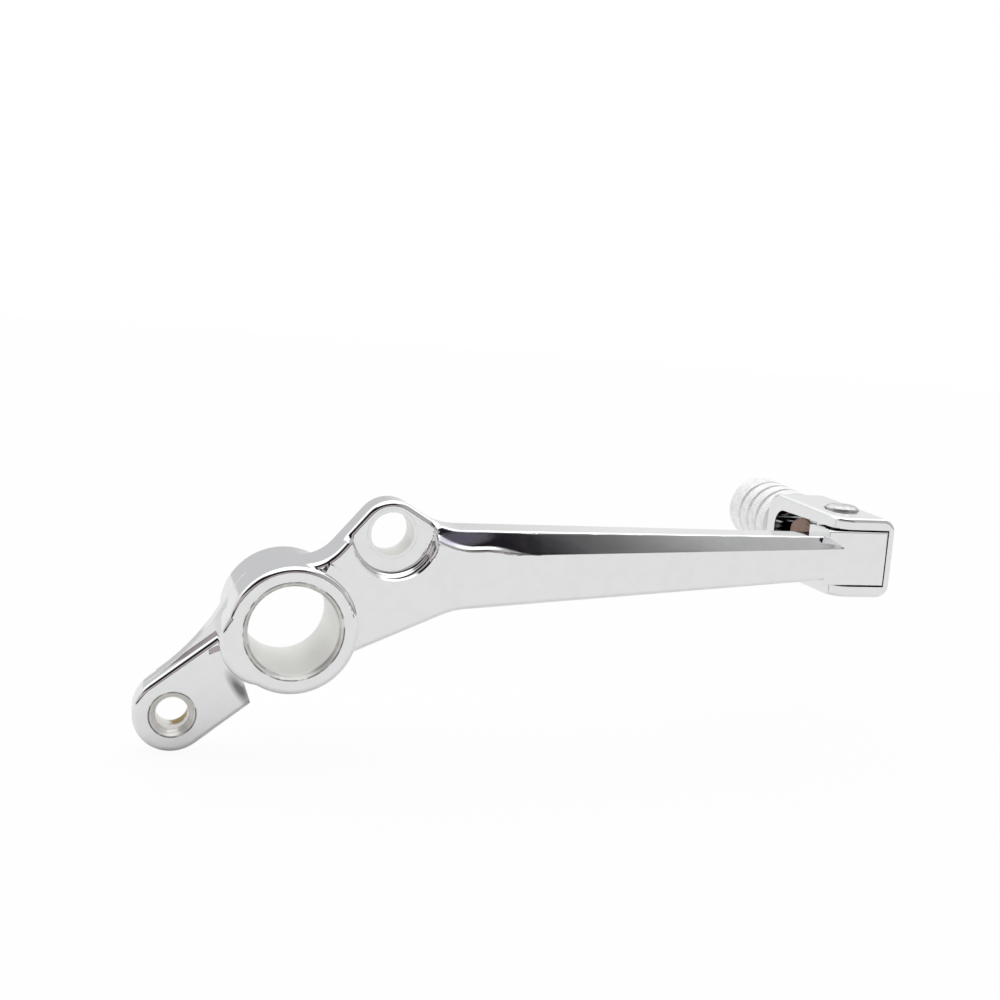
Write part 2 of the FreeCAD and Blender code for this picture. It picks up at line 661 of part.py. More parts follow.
for y, z in ((HOLLOW_BACK, TOP_IN), (HOLLOW_BACK, LOW_IN)):
    body_rounds(toe_clevis, "Sizes.hollow_round", along_x_at(size(y), size(z)))
for y, z in ((BACK_TOP, TOP_BACK), (BACK_LOW, LOW_OUT)):
    body_rounds(toe_clevis, "Sizes.back_corner", along_x_at(size(y), size(z)))
body_rounds(toe_clevis, "Sizes.clevis_corner", upright_at(size(CLEVIS_RIGHT), size(LOW_OUT)))
body_rounds(toe_clevis, "Sizes.ear_corner", on_ear_corner)
body_rounds(toe_clevis, "Sizes.clevis_round", on_clevis_skin)

PEG_TURN = Rotation(Vector(1, 0, 0), size("Sizes.peg_tilt") - 90)
WALL_DEPTH = "(Sizes.peg_depth - Sizes.hollow_depth)"
body_bore(toe_clevis, "Sizes.pin_radius + Sizes.seat_clearance", f"{TOP_OUT} - {LOW_OUT} + 2 * {MARGIN}",
          Rotation(), PIN_X, PIN_Y, f"{LOW_OUT} - {MARGIN}")
RIVET_SEAT = f"({TOP_OUT} + Sizes.rivet_seat)"
body_bore(toe_clevis, "Sizes.rivet_head_radius + Sizes.rivet_seat_gap", "Sizes.ear_rise", Rotation(),
          PIN_X, PIN_Y, RIVET_SEAT)
body_bore(toe_clevis, "Sizes.screw_radius + Sizes.seat_clearance", f"2 * ({WALL_DEPTH} + {MARGIN})", PEG_TURN,
          PEG_X, f"{PEG_Y} - ({WALL_DEPTH} + {MARGIN}) * cos(Sizes.peg_tilt)",
          f"Sizes.peg_z - ({WALL_DEPTH} + {MARGIN}) * sin(Sizes.peg_tilt)")

# Turned pieces: radius against height, spun about the body's own Z axis


def turned(name, profile):
    """Body of revolution from its half profile."""
    body = doc.addObject("PartDesign::Body", name)
    spin = body.newObject("PartDesign::Revolution", f"{name}_spin")
    spin.Profile = body_sketch(body, "XZ_Plane", "0", profile)
    spin.ReferenceAxis = (spin.Profile[0], ["V_Axis"])
    spin.Angle = 360
    return body


def place(body, rotation, x, y, z):
    """Puts a body's own origin at a point of the lever."""
    body.Placement = Placement(Vector(), rotation)
    bind(body, Placement__Base__x=x, Placement__Base__y=y, Placement__Base__z=z)


HEAD_EDGE = "(Sizes.rivet_head_radius - 0.8)"
TAIL_EDGE = "(Sizes.rivet_tail_radius - 0.6)"
hinge_rivet = turned("hinge_rivet", [
    ("0", f"{LOW_OUT} - Sizes.rivet_tail_height"),
    (TAIL_EDGE, f"{LOW_OUT} - Sizes.rivet_tail_height"),
    ("Sizes.rivet_tail_radius", f"{LOW_OUT} - Sizes.rivet_tail_height / 2"),
    ("Sizes.rivet_tail_radius", LOW_OUT),
    ("Sizes.pin_radius", LOW_OUT),
    ("Sizes.pin_radius", RIVET_SEAT),
    ("Sizes.rivet_head_radius", RIVET_SEAT),
    ("Sizes.rivet_head_radius", f"{RIVET_SEAT} + Sizes.rivet_head_height / 2"),
    (HEAD_EDGE, f"{RIVET_SEAT} + Sizes.rivet_head_height"),
    ("0", f"{RIVET_SEAT} + Sizes.rivet_head_height"),
])
place(hinge_rivet, Rotation(), PIN_X, PIN_Y, "0")

# Toe peg with ring grooves, held by a socket screw from its free end

SEAT = "(Sizes.peg_length - Sizes.screw_head_height - Sizes.screw_head_sunk)"
SCREW_TOP = "(Sizes.peg_length - Sizes.screw_head_sunk)"
SCREW_TIP = f"(Sizes.screw_tip_gap - {WALL_DEPTH})"
SCREW_HOLE = "(Sizes.screw_radius + Sizes.screw_clearance)"
HEAD_HOLE = "(Sizes.screw_head_radius + Sizes.screw_clearance)"
GROOVE_RADIUS = "(Sizes.peg_radius - Sizes.groove_deep)"
PEG_EDGE = "(Sizes.peg_radius - Sizes.peg_chamfer)"

peg_profile = [(SCREW_HOLE, "0"), (PEG_EDGE, "0"), ("Sizes.peg_radius", "Sizes.peg_chamfer")]
for number in range(3):
    groove_start = f"(Sizes.groove_first + {number} * Sizes.groove_pitch - Sizes.groove_width / 2)"
    groove_end = f"({groove_start} + Sizes.groove_width)"
    peg_profile += [
        ("Sizes.peg_radius", groove_start),
        (GROOVE_RADIUS, groove_start),
        (GROOVE_RADIUS, groove_end),
        ("Sizes.peg_radius", groove_end),
    ]
peg_profile += [
    ("Sizes.peg_radius", "Sizes.peg_length - Sizes.peg_chamfer"),
    (PEG_EDGE, "Sizes.peg_length"),
    (HEAD_HOLE, "Sizes.peg_length"),
    (HEAD_HOLE, SEAT),
    (SCREW_HOLE, SEAT),
]
toe_peg = turned("toe_peg", peg_profile)
place(toe_peg, PEG_TURN, PEG_X, PEG_Y, "Sizes.peg_z")

SCREW_CHAMFER = "0.4"
peg_screw = turned("peg_screw", [
    ("0", SCREW_TIP),
    (f"Sizes.screw_radius - {SCREW_CHAMFER}", SCREW_TIP),
    ("Sizes.screw_radius", f"{SCREW_TIP} + {SCREW_CHAMFER}"),
    ("Sizes.screw_radius", SEAT),
    ("Sizes.screw_head_radius", SEAT),
    ("Sizes.screw_head_radius", f"{SCREW_TOP} - {SCREW_CHAMFER}"),
    (f"Sizes.screw_head_radius - {SCREW_CHAMFER}", SCREW_TOP),
    ("0", SCREW_TOP),
])
socket = peg_screw.newObject("PartDesign::Pocket", "socket")
socket.Profile = body_sketch(peg_screw, "XY_Plane", SCREW_TOP, [
    (f"Sizes.socket_flats / sqrt(3) * cos({angle})", f"Sizes.socket_flats / sqrt(3) * sin({angle})")
    for angle in range(0, 360, 60)
])
bind(socket, Length="Sizes.socket_depth")
place(peg_screw, PEG_TURN, PEG_X, PEG_Y, "Sizes.peg_z")

# Return spring round the rivet: a coil in the tongue's slot, one leg in the slot and one along the clevis wall

COIL_START = 270
COIL_HEIGHT = "(Sizes.coil_pitch * Sizes.coil_turns)"
COIL_LOW = f"({MIDDLE_Z} - {COIL_HEIGHT} / 2)"
COIL_END = f"({COIL_START} + 360 * Sizes.coil_turns)"
COIL_FRONT = f"({PIN_Y} - Sizes.coil_radius)"
END_X = f"({PIN_X} + Sizes.coil_radius * cos({COIL_END}))"
END_Y = f"({PIN_Y} + Sizes.coil_radius * sin({COIL_END}))"
ACROSS = Rotation(Vector(1, 0, 0), -90)


def spring_leg(name, length, rotation, x, y, z):
    """Straight wire from a point, along a rotated Z axis."""
    leg = doc.addObject("Part::Cylinder", name)
    leg.Placement = Placement(Vector(), rotation)
    bind(leg, Radius="Sizes.wire_radius", Height=length)
    bind(leg, Placement__Base__x=x, Placement__Base__y=y, Placement__Base__z=z)
    return leg


coil_line = doc.addObject("Part::Helix", "coil_line")
coil_line.Placement = Placement(Vector(), Rotation(Vector(0, 0, 1), COIL_START))
bind(coil_line, Pitch="Sizes.coil_pitch", Height=COIL_HEIGHT, Radius="Sizes.coil_radius")
bind(coil_line, Placement__Base__x=PIN_X, Placement__Base__y=PIN_Y, Placement__Base__z=COIL_LOW)
wire_section = doc.addObject("Sketcher::SketchObject", "wire_section")
wire_section.Placement = Placement(Vector(), Rotation(Vector(0, 0, 1), COIL_START) * ACROSS)
draw_outline(wire_section, [
    (f"Sizes.wire_radius * cos({angle})", f"Sizes.wire_radius * sin({angle})")
    for angle in range(0, 360, 30)
])
bind(wire_section, Placement__Base__x=PIN_X, Placement__Base__y=COIL_FRONT, Placement__Base__z=COIL_LOW)
doc.recompute()
coil = doc.addObject("Part::Sweep", "coil")
coil.Sections = [wire_section]
coil.Spine = (coil_line, [f"Edge{index}" for index in range(1, len(coil_line.Shape.Edges) + 1)])
coil.Solid = True
coil.Frenet = True
leg_one = spring_leg("leg_one", "Sizes.leg_one_length", Rotation(Vector(0, 1, 0), -90),
                     PIN_X, COIL_FRONT, COIL_LOW)
leg_two = spring_leg("leg_two", "Sizes.leg_two_length", Rotation(Vector(0, 0, 1), size(COIL_END)) * ACROSS,
                     END_X, END_Y, f"({COIL_LOW} + {COIL_HEIGHT})")
return_spring = fuse("return_spring", coil, leg_one, leg_two)

# Sub-part files

NODES = (lever_body, toe_clevis, toe_peg, hinge_rivet, peg_screw, return_spring)
for node in NODES:
    node.Label = node.Name
doc.recompute()
for thing in doc.Objects:
    if "Invalid" in thing.State or "Error" in thing.State:
        raise RuntimeError(f"{thing.Name} failed: {thing.State}")
for node in NODES:
    if node.Shape.isNull() or not node.Shape.isValid() or len(node.Shape.Solids) != 1:
        raise RuntimeError(f"{node.Label} is not one sound solid")
os.makedirs("parts", exist_ok=True)
for node in NODES:
    node.Shape.exportStep(f"parts/{node.Label}.step")
    print(node.Label, round(node.Shape.Volume, 1), node.Shape.BoundBox)
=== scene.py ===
import json
import math

import bmesh
import bpy
import numpy as np
from bpy.props import FloatProperty, FloatVectorProperty, IntProperty, PointerProperty
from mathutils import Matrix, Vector


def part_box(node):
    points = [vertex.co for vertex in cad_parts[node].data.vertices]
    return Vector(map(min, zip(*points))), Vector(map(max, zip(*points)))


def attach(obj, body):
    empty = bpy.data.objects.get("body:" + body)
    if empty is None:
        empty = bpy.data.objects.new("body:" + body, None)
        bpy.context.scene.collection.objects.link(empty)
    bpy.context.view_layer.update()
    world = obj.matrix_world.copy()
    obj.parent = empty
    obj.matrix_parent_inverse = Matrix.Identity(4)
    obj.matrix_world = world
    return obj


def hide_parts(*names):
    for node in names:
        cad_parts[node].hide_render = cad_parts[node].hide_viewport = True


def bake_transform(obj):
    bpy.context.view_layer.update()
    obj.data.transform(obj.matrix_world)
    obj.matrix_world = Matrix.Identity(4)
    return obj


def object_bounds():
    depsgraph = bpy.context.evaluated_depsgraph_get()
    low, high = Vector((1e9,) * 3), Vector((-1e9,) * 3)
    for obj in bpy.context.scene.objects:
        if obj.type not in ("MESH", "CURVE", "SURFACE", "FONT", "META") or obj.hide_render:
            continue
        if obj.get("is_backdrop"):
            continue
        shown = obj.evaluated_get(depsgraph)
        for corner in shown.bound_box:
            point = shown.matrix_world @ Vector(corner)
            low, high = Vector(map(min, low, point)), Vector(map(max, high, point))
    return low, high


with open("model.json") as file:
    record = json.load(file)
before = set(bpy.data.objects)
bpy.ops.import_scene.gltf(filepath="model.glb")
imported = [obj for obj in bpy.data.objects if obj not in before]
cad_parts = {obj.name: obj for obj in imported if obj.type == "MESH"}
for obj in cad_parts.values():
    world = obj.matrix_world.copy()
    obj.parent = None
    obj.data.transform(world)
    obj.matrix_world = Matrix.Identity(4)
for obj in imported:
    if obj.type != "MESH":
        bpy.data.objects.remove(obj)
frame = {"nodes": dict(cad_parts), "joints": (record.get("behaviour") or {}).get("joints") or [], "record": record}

bl_info = {
    "name": "Gear shift lever",
    "version": (1, 0, 0),
    "blender": (4, 5, 0),
    "location": "View3D > Sidebar > Lever",
    "description": "Plated castings, knurled toe peg and studio for a folding gear shift lever",
    "category": "Object",
}


# Sizes and colours

def length(name, text, default):
    """A size in metres that the sidebar shows as a length."""
    return FloatProperty(name=name, description=text, default=default, unit="LENGTH", precision=5)


def share(name, text, default):
    """A plain number between none and full."""
    return FloatProperty(name=name, description=text, default=default, min=0.0, max=1.0, subtype="FACTOR")


def angle(name, text, default):
    """An angle given in degrees and kept in radians."""
    return FloatProperty(name=name, description=text, default=math.radians(default), unit="ROTATION")


def whole(name, text, default):
    """A count."""
    return IntProperty(name=name, description=text, default=default, min=1)


def colour(name, text, default):
    """A linear colour."""
    return FloatVectorProperty(name=name, description=text, default=default, size=3, subtype="COLOR")


def place(name, text, default):
    """A point in metres."""
    return FloatVectorProperty(name=name, description=text, default=default, size=3, subtype="TRANSLATION")


class PlatingProperties(bpy.types.PropertyGroup):
    """Chrome plate on the two castings, and the bare bores in them."""

    crease: angle("Crease", "Edges turned by more than this stay sharp", 32)
    plate: colour("Plate", "Colour of the chrome", (0.86, 0.865, 0.87))
    plate_dull: colour("Dull plate", "Colour of the chrome where it is hazed", (0.84, 0.845, 0.85))
    polish: share("Polish", "Roughness of the bright plate", 0.05)
    haze: share("Haze", "Roughness of the hazed plate", 0.1)
    ripple: length("Ripple", "Length of the slow waves left by hand polishing", 0.012)
    ripple_height: length("Ripple height", "Height of those waves", 0.00002)
    bare: colour("Bare metal", "Colour of the unplated bores", (0.84, 0.84, 0.8))
    bare_gloss: share("Bare gloss", "How metallic the bare bores look", 0.55)
    bare_light: colour(
        "Bright bare metal", "Colour of the crests left by the boring tool", (0.97, 0.97, 0.95))
    mark_rough: share("Mark roughness", "Roughness in the tool marks of a bore", 0.42)
    crest_rough: share("Crest roughness", "Roughness of the crests between them", 0.3)
    hole_margin: length("Hole margin", "How far the bare metal reaches past a wall", 0.00002)
    bore_chamfer: length("Bore chamfer", "Width of the bare chamfer round the pivot bore", 0.00095)
    countersink: length("Countersink", "Width of the bare countersink round the link hole", 0.00135)
    # Painted shade: a faint dark line drawn round the lug hole where its chamfer edge lies, in the colour of the
    # rim lines
    lug_edge_line: length("Lug scratch", "Distance of the cutter's scratch from the lug hole", 0.0007)
    lug_line_faint: share("Faint scratch", "Strength of that scratch", 0.15)
    # Painted shade: dark lines drawn round the rims of the holes, standing for the shade and dark reflection that
    # rounded edges show
    rim: colour("Rim", "Colour of the dirt left on the rims of the holes", (0.05, 0.05, 0.05))
    rim_width: length("Rim width", "Half width of that line of dirt", 0.00022)
    rim_faint: share("Faint rim", "Strength of the fainter lines", 0.45)
    turning_pitch: length("Turning pitch", "Distance between two tool marks in a bore", 0.0006)
    turning_depth: length("Turning depth", "Depth of those tool marks", 0.00001)
    stain: colour("Stain", "Colour of the old grease in the link hole", (0.33, 0.19, 0.02))
    stain_place: place("Stain place", "Middle of the grease stain", (-0.0203, 0.0021, -0.0216))
    stain_reach: length("Stain reach", "Size of the grease stain", 0.004)
    # Painted shade: a darker streak laid on the plate in the concave corner at the foot of the boss, where the
    # casting is in shade
    painted_shade: colour("Soot", "Colour of the dull streak at the foot of the boss", (0.2, 0.2, 0.21))
    shade_place: place("Soot place", "Middle of that streak", (-0.0095, -0.0042, -0.0135))
    shade_lean: angle("Soot lean", "Lean of the streak from upright", 33)
    shade_length: length("Soot length", "Half length of the streak", 0.0058)
    shade_depth: length("Soot depth", "Half depth of the streak", 0.01)
    shade_width: length("Soot width", "Half width of the streak", 0.0017)
    # Painted reflection: a violet tint laid on the plate at the start of the bevel, with the plate made less
    # metallic under it
    painted_reflection: colour("Film", "Colour of the violet film at the start of the bevel", (0.29, 0.25, 0.4))
    reflection_place: place("Film place", "Middle of that film", (0.0344, -0.0077, 0.0191))
    reflection_lean: angle("Film lean", "Lean of the film from level", 6)
    reflection_length: length("Film length", "Half length of the film", 0.0078)
    reflection_depth: length("Film depth", "Half depth of the film", 0.0022)
    reflection_width: length("Film width", "Half width of the film", 0.002)
    reflection_gloss: share("Film gloss", "How metallic the plate is under the film", 0.5)
    seam: length("Seam", "Width of the casting seams", 0.00022)
    seam_height: length("Seam height", "Height of the casting seams", 0.00006)
    seam_plane: length("Seam plane", "Depth of the lever's seam", -0.0004)
    seam_start: length("Seam start", "How far left of the pivot the lever's seam begins", 0.009)
    seam_reach: length("Seam reach", "How far back from its end the clevis's seam reaches", 0.0008)


class RunOutProperties(bpy.types.PropertyGroup):
    """Run-out of the arm's bevel beside the lug."""

    face: length("Face", "Depth of the arm's face", -0.0083)
    edge_z: length("Edge height", "Height of the bevel's lower edge at the run-out's start", 0.015)
    edge_rise: share("Edge rise", "Rise of that edge along the arm", 0.0406)
    margin: length("Margin", "How far under that edge the mesh is made finer", 0.0005)
    slope: share("Slope", "Most depth of the bevel for its height", 0.385)
    begin: length("Begin", "Where the bevel begins on the lug's rim", 0.0272)
    start: length("Start", "Where its line starts to fall", 0.029)
    end: length("End", "Where the bevel has its full width", 0.051)
    floor: length("Floor", "Depth of the lug's recess behind the face", 0.004)
    top: length("Top", "Height up to which the bevel reaches", 0.0206)
    fall_first: length("First fall", "Fall of the line beside the lug", 0.0024)
    first_end: share("First end", "Share of the run-out at which the first fall ends", 0.35)
    fall_last: length("Last fall", "Fall of the line along the arm", 0.0021)
    last_start: share("Last start", "Share of the run-out at which the last fall starts", 0.45)
    hollow: length("Hollow", "Height of the hollow under the line", 0.0013)
    step: length("Step", "Distance between two cuts of the finer mesh", 0.0002)


class PegProperties(bpy.types.PropertyGroup):
    """Turned aluminium toe peg."""

    foot: place("Foot", "Middle of the end that meets the clevis", (0.1275, 0.0257, 0.0184))
    tilt: angle("Tilt", "Rise of the axis towards the free end", 4)
    radius: length("Radius", "Radius over the knurl", 0.008)
    reach: length("Length", "Length along the axis", 0.0202)
    edge: length("Edge", "Chamfer at both ends", 0.0007)
    groove_first: length("First groove", "Distance of the first groove from the foot", 0.0046)
    groove_pitch: length("Groove pitch", "Distance between two grooves", 0.0044)
    groove_width: length("Groove width", "Width of a groove", 0.0012)
    groove_depth: length("Groove depth", "Depth of a groove", 0.0008)
    groove_count: whole("Grooves", "Number of ring grooves", 3)
    groove_clear: FloatProperty(
        name="Groove clearance", description="Half widths of a groove that stay without knurl",
        default=1.15, min=1.0)
    hole: length("Hole", "Radius of the screw's hole", 0.00305)
    head_hole: length("Head hole", "Radius of the sinking for the screw's head", 0.00505)
    seat: length("Seat", "Distance of the head's seat from the foot", 0.0136)
    crease: angle("Crease", "Edges turned by more than this stay sharp", 40)
    knurl_teeth: whole("Knurl teeth", "Straight teeth round the peg", 72)
    tooth_points: whole("Tooth points", "Points across one tooth", 6)
    rows: whole("Rows", "Rows of points along the peg", 150)
    knurl_depth: length("Knurl depth", "Depth of a knurl tooth", 0.00007)
    metal: colour("Aluminium", "Colour of the satin aluminium", (0.965, 0.965, 0.965))
    metal_dark: colour("Worn aluminium", "Colour of the worn patches", (0.85, 0.85, 0.855))
    satin: share("Satin", "Roughness of the aluminium", 0.42)
    gloss: share("Gloss", "How metallic the blasted surface looks", 0.35)


class SteelProperties(bpy.types.PropertyGroup):
    """Rivet and screw."""

    crease: angle("Crease", "Edges turned by more than this stay sharp", 32)
    steel: colour("Steel", "Colour of the rivet", (0.66, 0.66, 0.67))
    steel_dark: colour("Dark steel", "Colour of its worn spots", (0.42, 0.42, 0.43))
    sealant: colour("Sealant", "Colour of the old sealant on the screw's tip", (0.95, 0.66, 0.54))
    sealant_place: place("Sealant place", "Middle of the screw's tip", (0.1265, 0.0215, 0.0187))
    sealant_reach: length("Sealant reach", "Size of the sealant's patch", 0.007)
    brushing: share("Brushing", "Roughness of the steel", 0.22)


class SpringProperties(bpy.types.PropertyGroup):
    """Torsion spring round the rivet."""

    wire_radius: length("Wire radius", "Radius of the wire", 0.0006)
    coil: length("Coil radius", "Radius of the coil's middle line", 0.0036)
    turns: FloatProperty(name="Turns", description="Number of turns", default=3.225, min=1.0)
    pitch: length("Pitch", "Rise of one turn", 0.00125)
    coil_start: angle("Coil start", "Angle at which the first leg meets the coil", 270)
    leg_one: length("First leg", "Length of the leg in the lever's slot", 0.006)
    leg_two: length("Second leg", "Length of the leg along the clevis", 0.009)
    turn_points: whole("Turn points", "Points along one turn", 48)
    leg_one_points: whole("First leg points", "Points along the first leg", 8)
    leg_two_points: whole("Second leg points", "Points along the second leg", 10)
    wire_points: whole("Wire points", "Points round the wire", 24)
    crease: angle("Crease", "Edges turned by more than this stay sharp", 50)
    wire: colour("Wire", "Colour of the spring wire", (0.2, 0.195, 0.19))
    wire_light: colour("Bright wire", "Colour of the spring's rubbed spots", (0.38, 0.37, 0.36))
    drawing: share("Drawing", "Roughness of the drawn wire", 0.22)


class StudioProperties(bpy.types.PropertyGroup):
    """White table, soft light and camera."""

    floor_gap: length("Floor gap", "Distance of the table under the lowest point", 0.0004)
    floor_radius: length("Floor radius", "Radius of the table", 3.0)
    floor_points: whole("Floor points", "Points round the table", 96)
    paper: colour("Paper", "Colour of the table", (0.88, 0.88, 0.88))
    fibre: share("Fibre", "Tone of the paper's fibres beside the paper's own", 0.98)
    shadow: share("Shadow", "How much of the shadow the table keeps", 0.06)
    wall: colour("Wall", "Light of the tent's back wall near the table", (0.62, 0.62, 0.63))
    side: colour("Side", "Light of the tent's side walls", (0.86, 0.86, 0.86))
    wall_places: FloatVectorProperty(
        name="Wall places", description="Where, from left to right, the side walls and the back wall meet",
        default=(0.25, 0.36, 0.575, 0.68), size=4)
    roof: colour("Roof", "Light of the tent's roof under the lamp", (1.6, 1.6, 1.6))
    roof_low: share("Roof low", "Height from which the wall turns into the roof", 0.3)
    roof_high: share("Roof high", "Height at which it is all roof", 0.8)
    sill: colour("Sill", "Dark edge of the table in the opening", (0.04, 0.04, 0.04))
    room: colour("Room", "Light of the room seen through the opening", (0.5, 0.44, 0.44))
    gap: colour("Gap", "Dark upper part of the opening", (0.015, 0.013, 0.017))
    sill_top: angle("Sill top", "Height at which the sill ends", 6)
    room_top: angle("Room top", "Height at which the room ends and the dark part begins", 23)
    gap_top: angle("Gap top", "Height at which the opening ends", 56)
    gap_edge: angle("Gap edge", "Half the angle over which its bands change", 2)
    gap_left: angle("Gap left", "Left end of the opening, from straight ahead", -70)
    gap_right: angle("Gap right", "Right end of the opening's dark part", 19)
    gap_fade: angle("Gap fade", "Angle over which the opening fades out", 14)
    gap_rest: share("Gap rest", "What is left of the opening beyond its dark part", 0.68)
    rest_end: angle("Rest end", "Where that rest begins to end", 75)
    rest_gone: angle("Rest gone", "Where that rest has ended", 105)
    camera_place: place("Camera place", "Where the camera stands", (-0.03405, -0.26117, 0.06515))
    camera_turn: FloatVectorProperty(
        name="Camera turn", description="Turn of the camera about X, Y and Z",
        default=[math.radians(turn) for turn in (81.796, -4.329, -15.899)], size=3, subtype="EULER")
    lens: FloatProperty(name="Lens", description="Focal length in millimetres", default=46.8)


# Surfaces

# In metres: how close points are that become one, how close a cut is to a point that it goes through, and the
# least height of a hollow
JOIN_REACH = 2e-6
CUT_REACH = 1e-7
LEAST_HOLLOW = 1e-6


def surface(name, grid, loop):
    """A closed surface through a grid of points. The columns run round the piece and meet again. The rows
    either meet again as well (loop) or end, at each end, in a fan about the mean of the last row."""
    rows, columns = grid.shape[:2]
    points = grid.reshape(-1, 3)
    index = np.arange(rows * columns).reshape(rows, columns)
    beside = np.roll(index, -1, axis=1)
    if loop:
        quads = np.stack([index, beside, np.roll(beside, -1, axis=0), np.roll(index, -1, axis=0)], axis=-1)
        faces = quads.reshape(-1, 4).tolist()
    else:
        quads = np.stack([index[:-1], beside[:-1], beside[1:], index[1:]], axis=-1)
        ends = np.stack([grid[0].mean(axis=0), grid[-1].mean(axis=0)])
        points = np.concatenate([points, ends])
        first = np.stack([beside[0], index[0], np.full(columns, rows * columns)], axis=-1)
        last = np.stack([index[-1], beside[-1], np.full(columns, rows * columns + 1)], axis=-1)
        faces = quads.reshape(-1, 4).tolist() + first.tolist() + last.tolist()
    mesh = bpy.data.meshes.new(name)
    mesh.from_pydata(points.tolist(), [], faces)
    solid = bmesh.new()
    solid.from_mesh(mesh)
    if solid.calc_volume(signed=True) < 0:
        bmesh.ops.reverse_faces(solid, faces=solid.faces[:])
    solid.to_mesh(mesh)
    solid.free()
    return mesh


def peg_surface(sizes):
    """Radius as a function of the way along the axis and the angle round it: a cylinder, less half a cosine
    wave across each ring groove, less a straight tooth form on the lands between the grooves. The surface is
    closed by the two faces and the stepped wall of the screw hole."""
    along = np.linspace(sizes.edge, sizes.reach - sizes.edge, sizes.rows)
    cut = np.zeros_like(along)
    land = np.ones_like(along)
    for ring in range(sizes.groove_count):
        offset = (along - sizes.groove_first - ring * sizes.groove_pitch) / (sizes.groove_width / 2)
        inside = np.abs(offset) < 1
        cut = np.where(inside, sizes.groove_depth * np.cos(offset * math.pi / 2), cut)
        land = np.where(np.abs(offset) < sizes.groove_clear, 0.0, land)
    outer = np.stack([sizes.radius - cut, along, land], axis=-1)
    foot = np.array([[sizes.hole, 0, 0], [sizes.radius - sizes.edge, 0, 0]])
    free = np.array([
        [sizes.radius - sizes.edge, sizes.reach, 0], [sizes.head_hole, sizes.reach, 0],
        [sizes.head_hole, sizes.seat, 0], [sizes.hole, sizes.seat, 0]])
    profile = np.concatenate([foot, outer, free])
    turn = np.linspace(0, 2 * math.pi, sizes.knurl_teeth * sizes.tooth_points, endpoint=False)
    tooth = 0.5 - 0.5 * np.cos(turn * sizes.knurl_teeth)
    radius = profile[:, :1] - sizes.knurl_depth * profile[:, 2:] * tooth
    axis = np.array([0, math.cos(sizes.tilt), math.sin(sizes.tilt)])
    side = np.array([1.0, 0, 0])
    up = np.cross(side, axis)
    ring = np.cos(turn)[:, None] * side + np.sin(turn)[:, None] * up
    grid = np.array(sizes.foot) + radius[..., None] * ring + profile[:, 1, None, None] * axis
    return surface("knurled_peg", grid, loop=True)


def spring_surface(sizes, middle):
    """A round wire carried along a path: a straight leg that runs into a helix about a point, and a second
    leg that leaves the helix along its last tangent."""
    spin = np.linspace(0, 2 * math.pi * sizes.turns, int(sizes.turn_points * sizes.turns))
    turn = sizes.coil_start + spin
    rise = sizes.pitch * (spin / (2 * math.pi) - sizes.turns / 2)
    coil = np.stack([sizes.coil * np.cos(turn), sizes.coil * np.sin(turn), rise], axis=-1)
    tangent = np.stack([-np.sin(turn), np.cos(turn), np.zeros_like(turn)], axis=-1)
    back = np.linspace(-sizes.leg_one, 0, sizes.leg_one_points, endpoint=False)[:, None]
    on = np.linspace(0, sizes.leg_two, sizes.leg_two_points + 1)[1:, None]
    path = np.concatenate([coil[0] + back * tangent[0], coil, coil[-1] + on * tangent[-1]]) + np.array(middle)
    ahead = np.gradient(path, axis=0)
    ahead /= np.linalg.norm(ahead, axis=1, keepdims=True)
    side = np.cross(ahead, [0.0, 0.0, 1.0])
    side /= np.linalg.norm(side, axis=1, keepdims=True)
    up = np.cross(side, ahead)
    around = np.linspace(0, 2 * math.pi, sizes.wire_points, endpoint=False)[None, :, None]
    grid = path[:, None] + sizes.wire_radius * (np.cos(around) * side[:, None] + np.sin(around) * up[:, None])
    return surface("wound_spring", grid, loop=False)


def show(mesh, crease, material):
    """An object for a finished mesh. Its faces are smooth except at edges turned by more than the crease."""
    mesh.polygons.foreach_set("use_smooth", np.ones(len(mesh.polygons), dtype=bool))
    mesh.set_sharp_from_angle(angle=crease)
    mesh.materials.clear()
    mesh.materials.append(material)
    piece = bpy.data.objects.new(mesh.name, mesh)
    bpy.context.scene.collection.objects.link(piece)
    return piece


def merged(name, node):
    """A copy of a CAD node's mesh with its faces joined."""
    mesh = frame["nodes"][node].data.copy()
    mesh.name = name
    joined = bmesh.new()
    joined.from_mesh(mesh)
    bmesh.ops.remove_doubles(joined, verts=joined.verts[:], dist=JOIN_REACH)
    joined.to_mesh(mesh)
    joined.free()
    mesh.attributes.remove(mesh.attributes["custom_normal"])
    return mesh


def coordinates(mesh):
    """The mesh's points as an array with one row for each."""
    points = np.empty(len(mesh.vertices) * 3)
    mesh.vertices.foreach_get("co", points)
    return points.reshape(-1, 3)


def refine(mesh, low, high, step):
    """Cuts the faces that reach into a box by planes across X and Z."""
    corner = np.empty(len(mesh.loops), dtype=int)
    mesh.loops.foreach_get("vertex_index", corner)
    first = np.empty(len(mesh.polygons), dtype=int)
    mesh.polygons.foreach_get("loop_start", first)
    points = coordinates(mesh)[corner]
    reaches = (np.maximum.reduceat(points, first) >= low) & (np.minimum.reduceat(points, first) <= high)
    fine = bmesh.new()
    fine.from_mesh(mesh)
    fine.faces.ensure_lookup_table()
    near = [fine.faces[index] for index in np.flatnonzero(reaches.all(axis=1))]
    parts = list({part for face in near for part in (face, *face.edges, *face.verts)})
    for axis in (0, 2):
        across = np.eye(3)[axis]
        for at in np.arange(low[axis], high[axis], step):
            split = bmesh.ops.bisect_plane(
                fine, geom=parts, dist=CUT_REACH, plane_co=across * at, plane_no=across)
            parts = split["geom"]
    bmesh.ops.triangulate(fine, faces=[face for face in fine.faces if len(face.verts) > 4])
    fine.to_mesh(mesh)
    fine.free()


def smooth_step(value):
    """A rise from 0 to 1 that is level at both ends."""
    part = np.clip(value, 0, 1)
    return part * part * (3 - 2 * part)


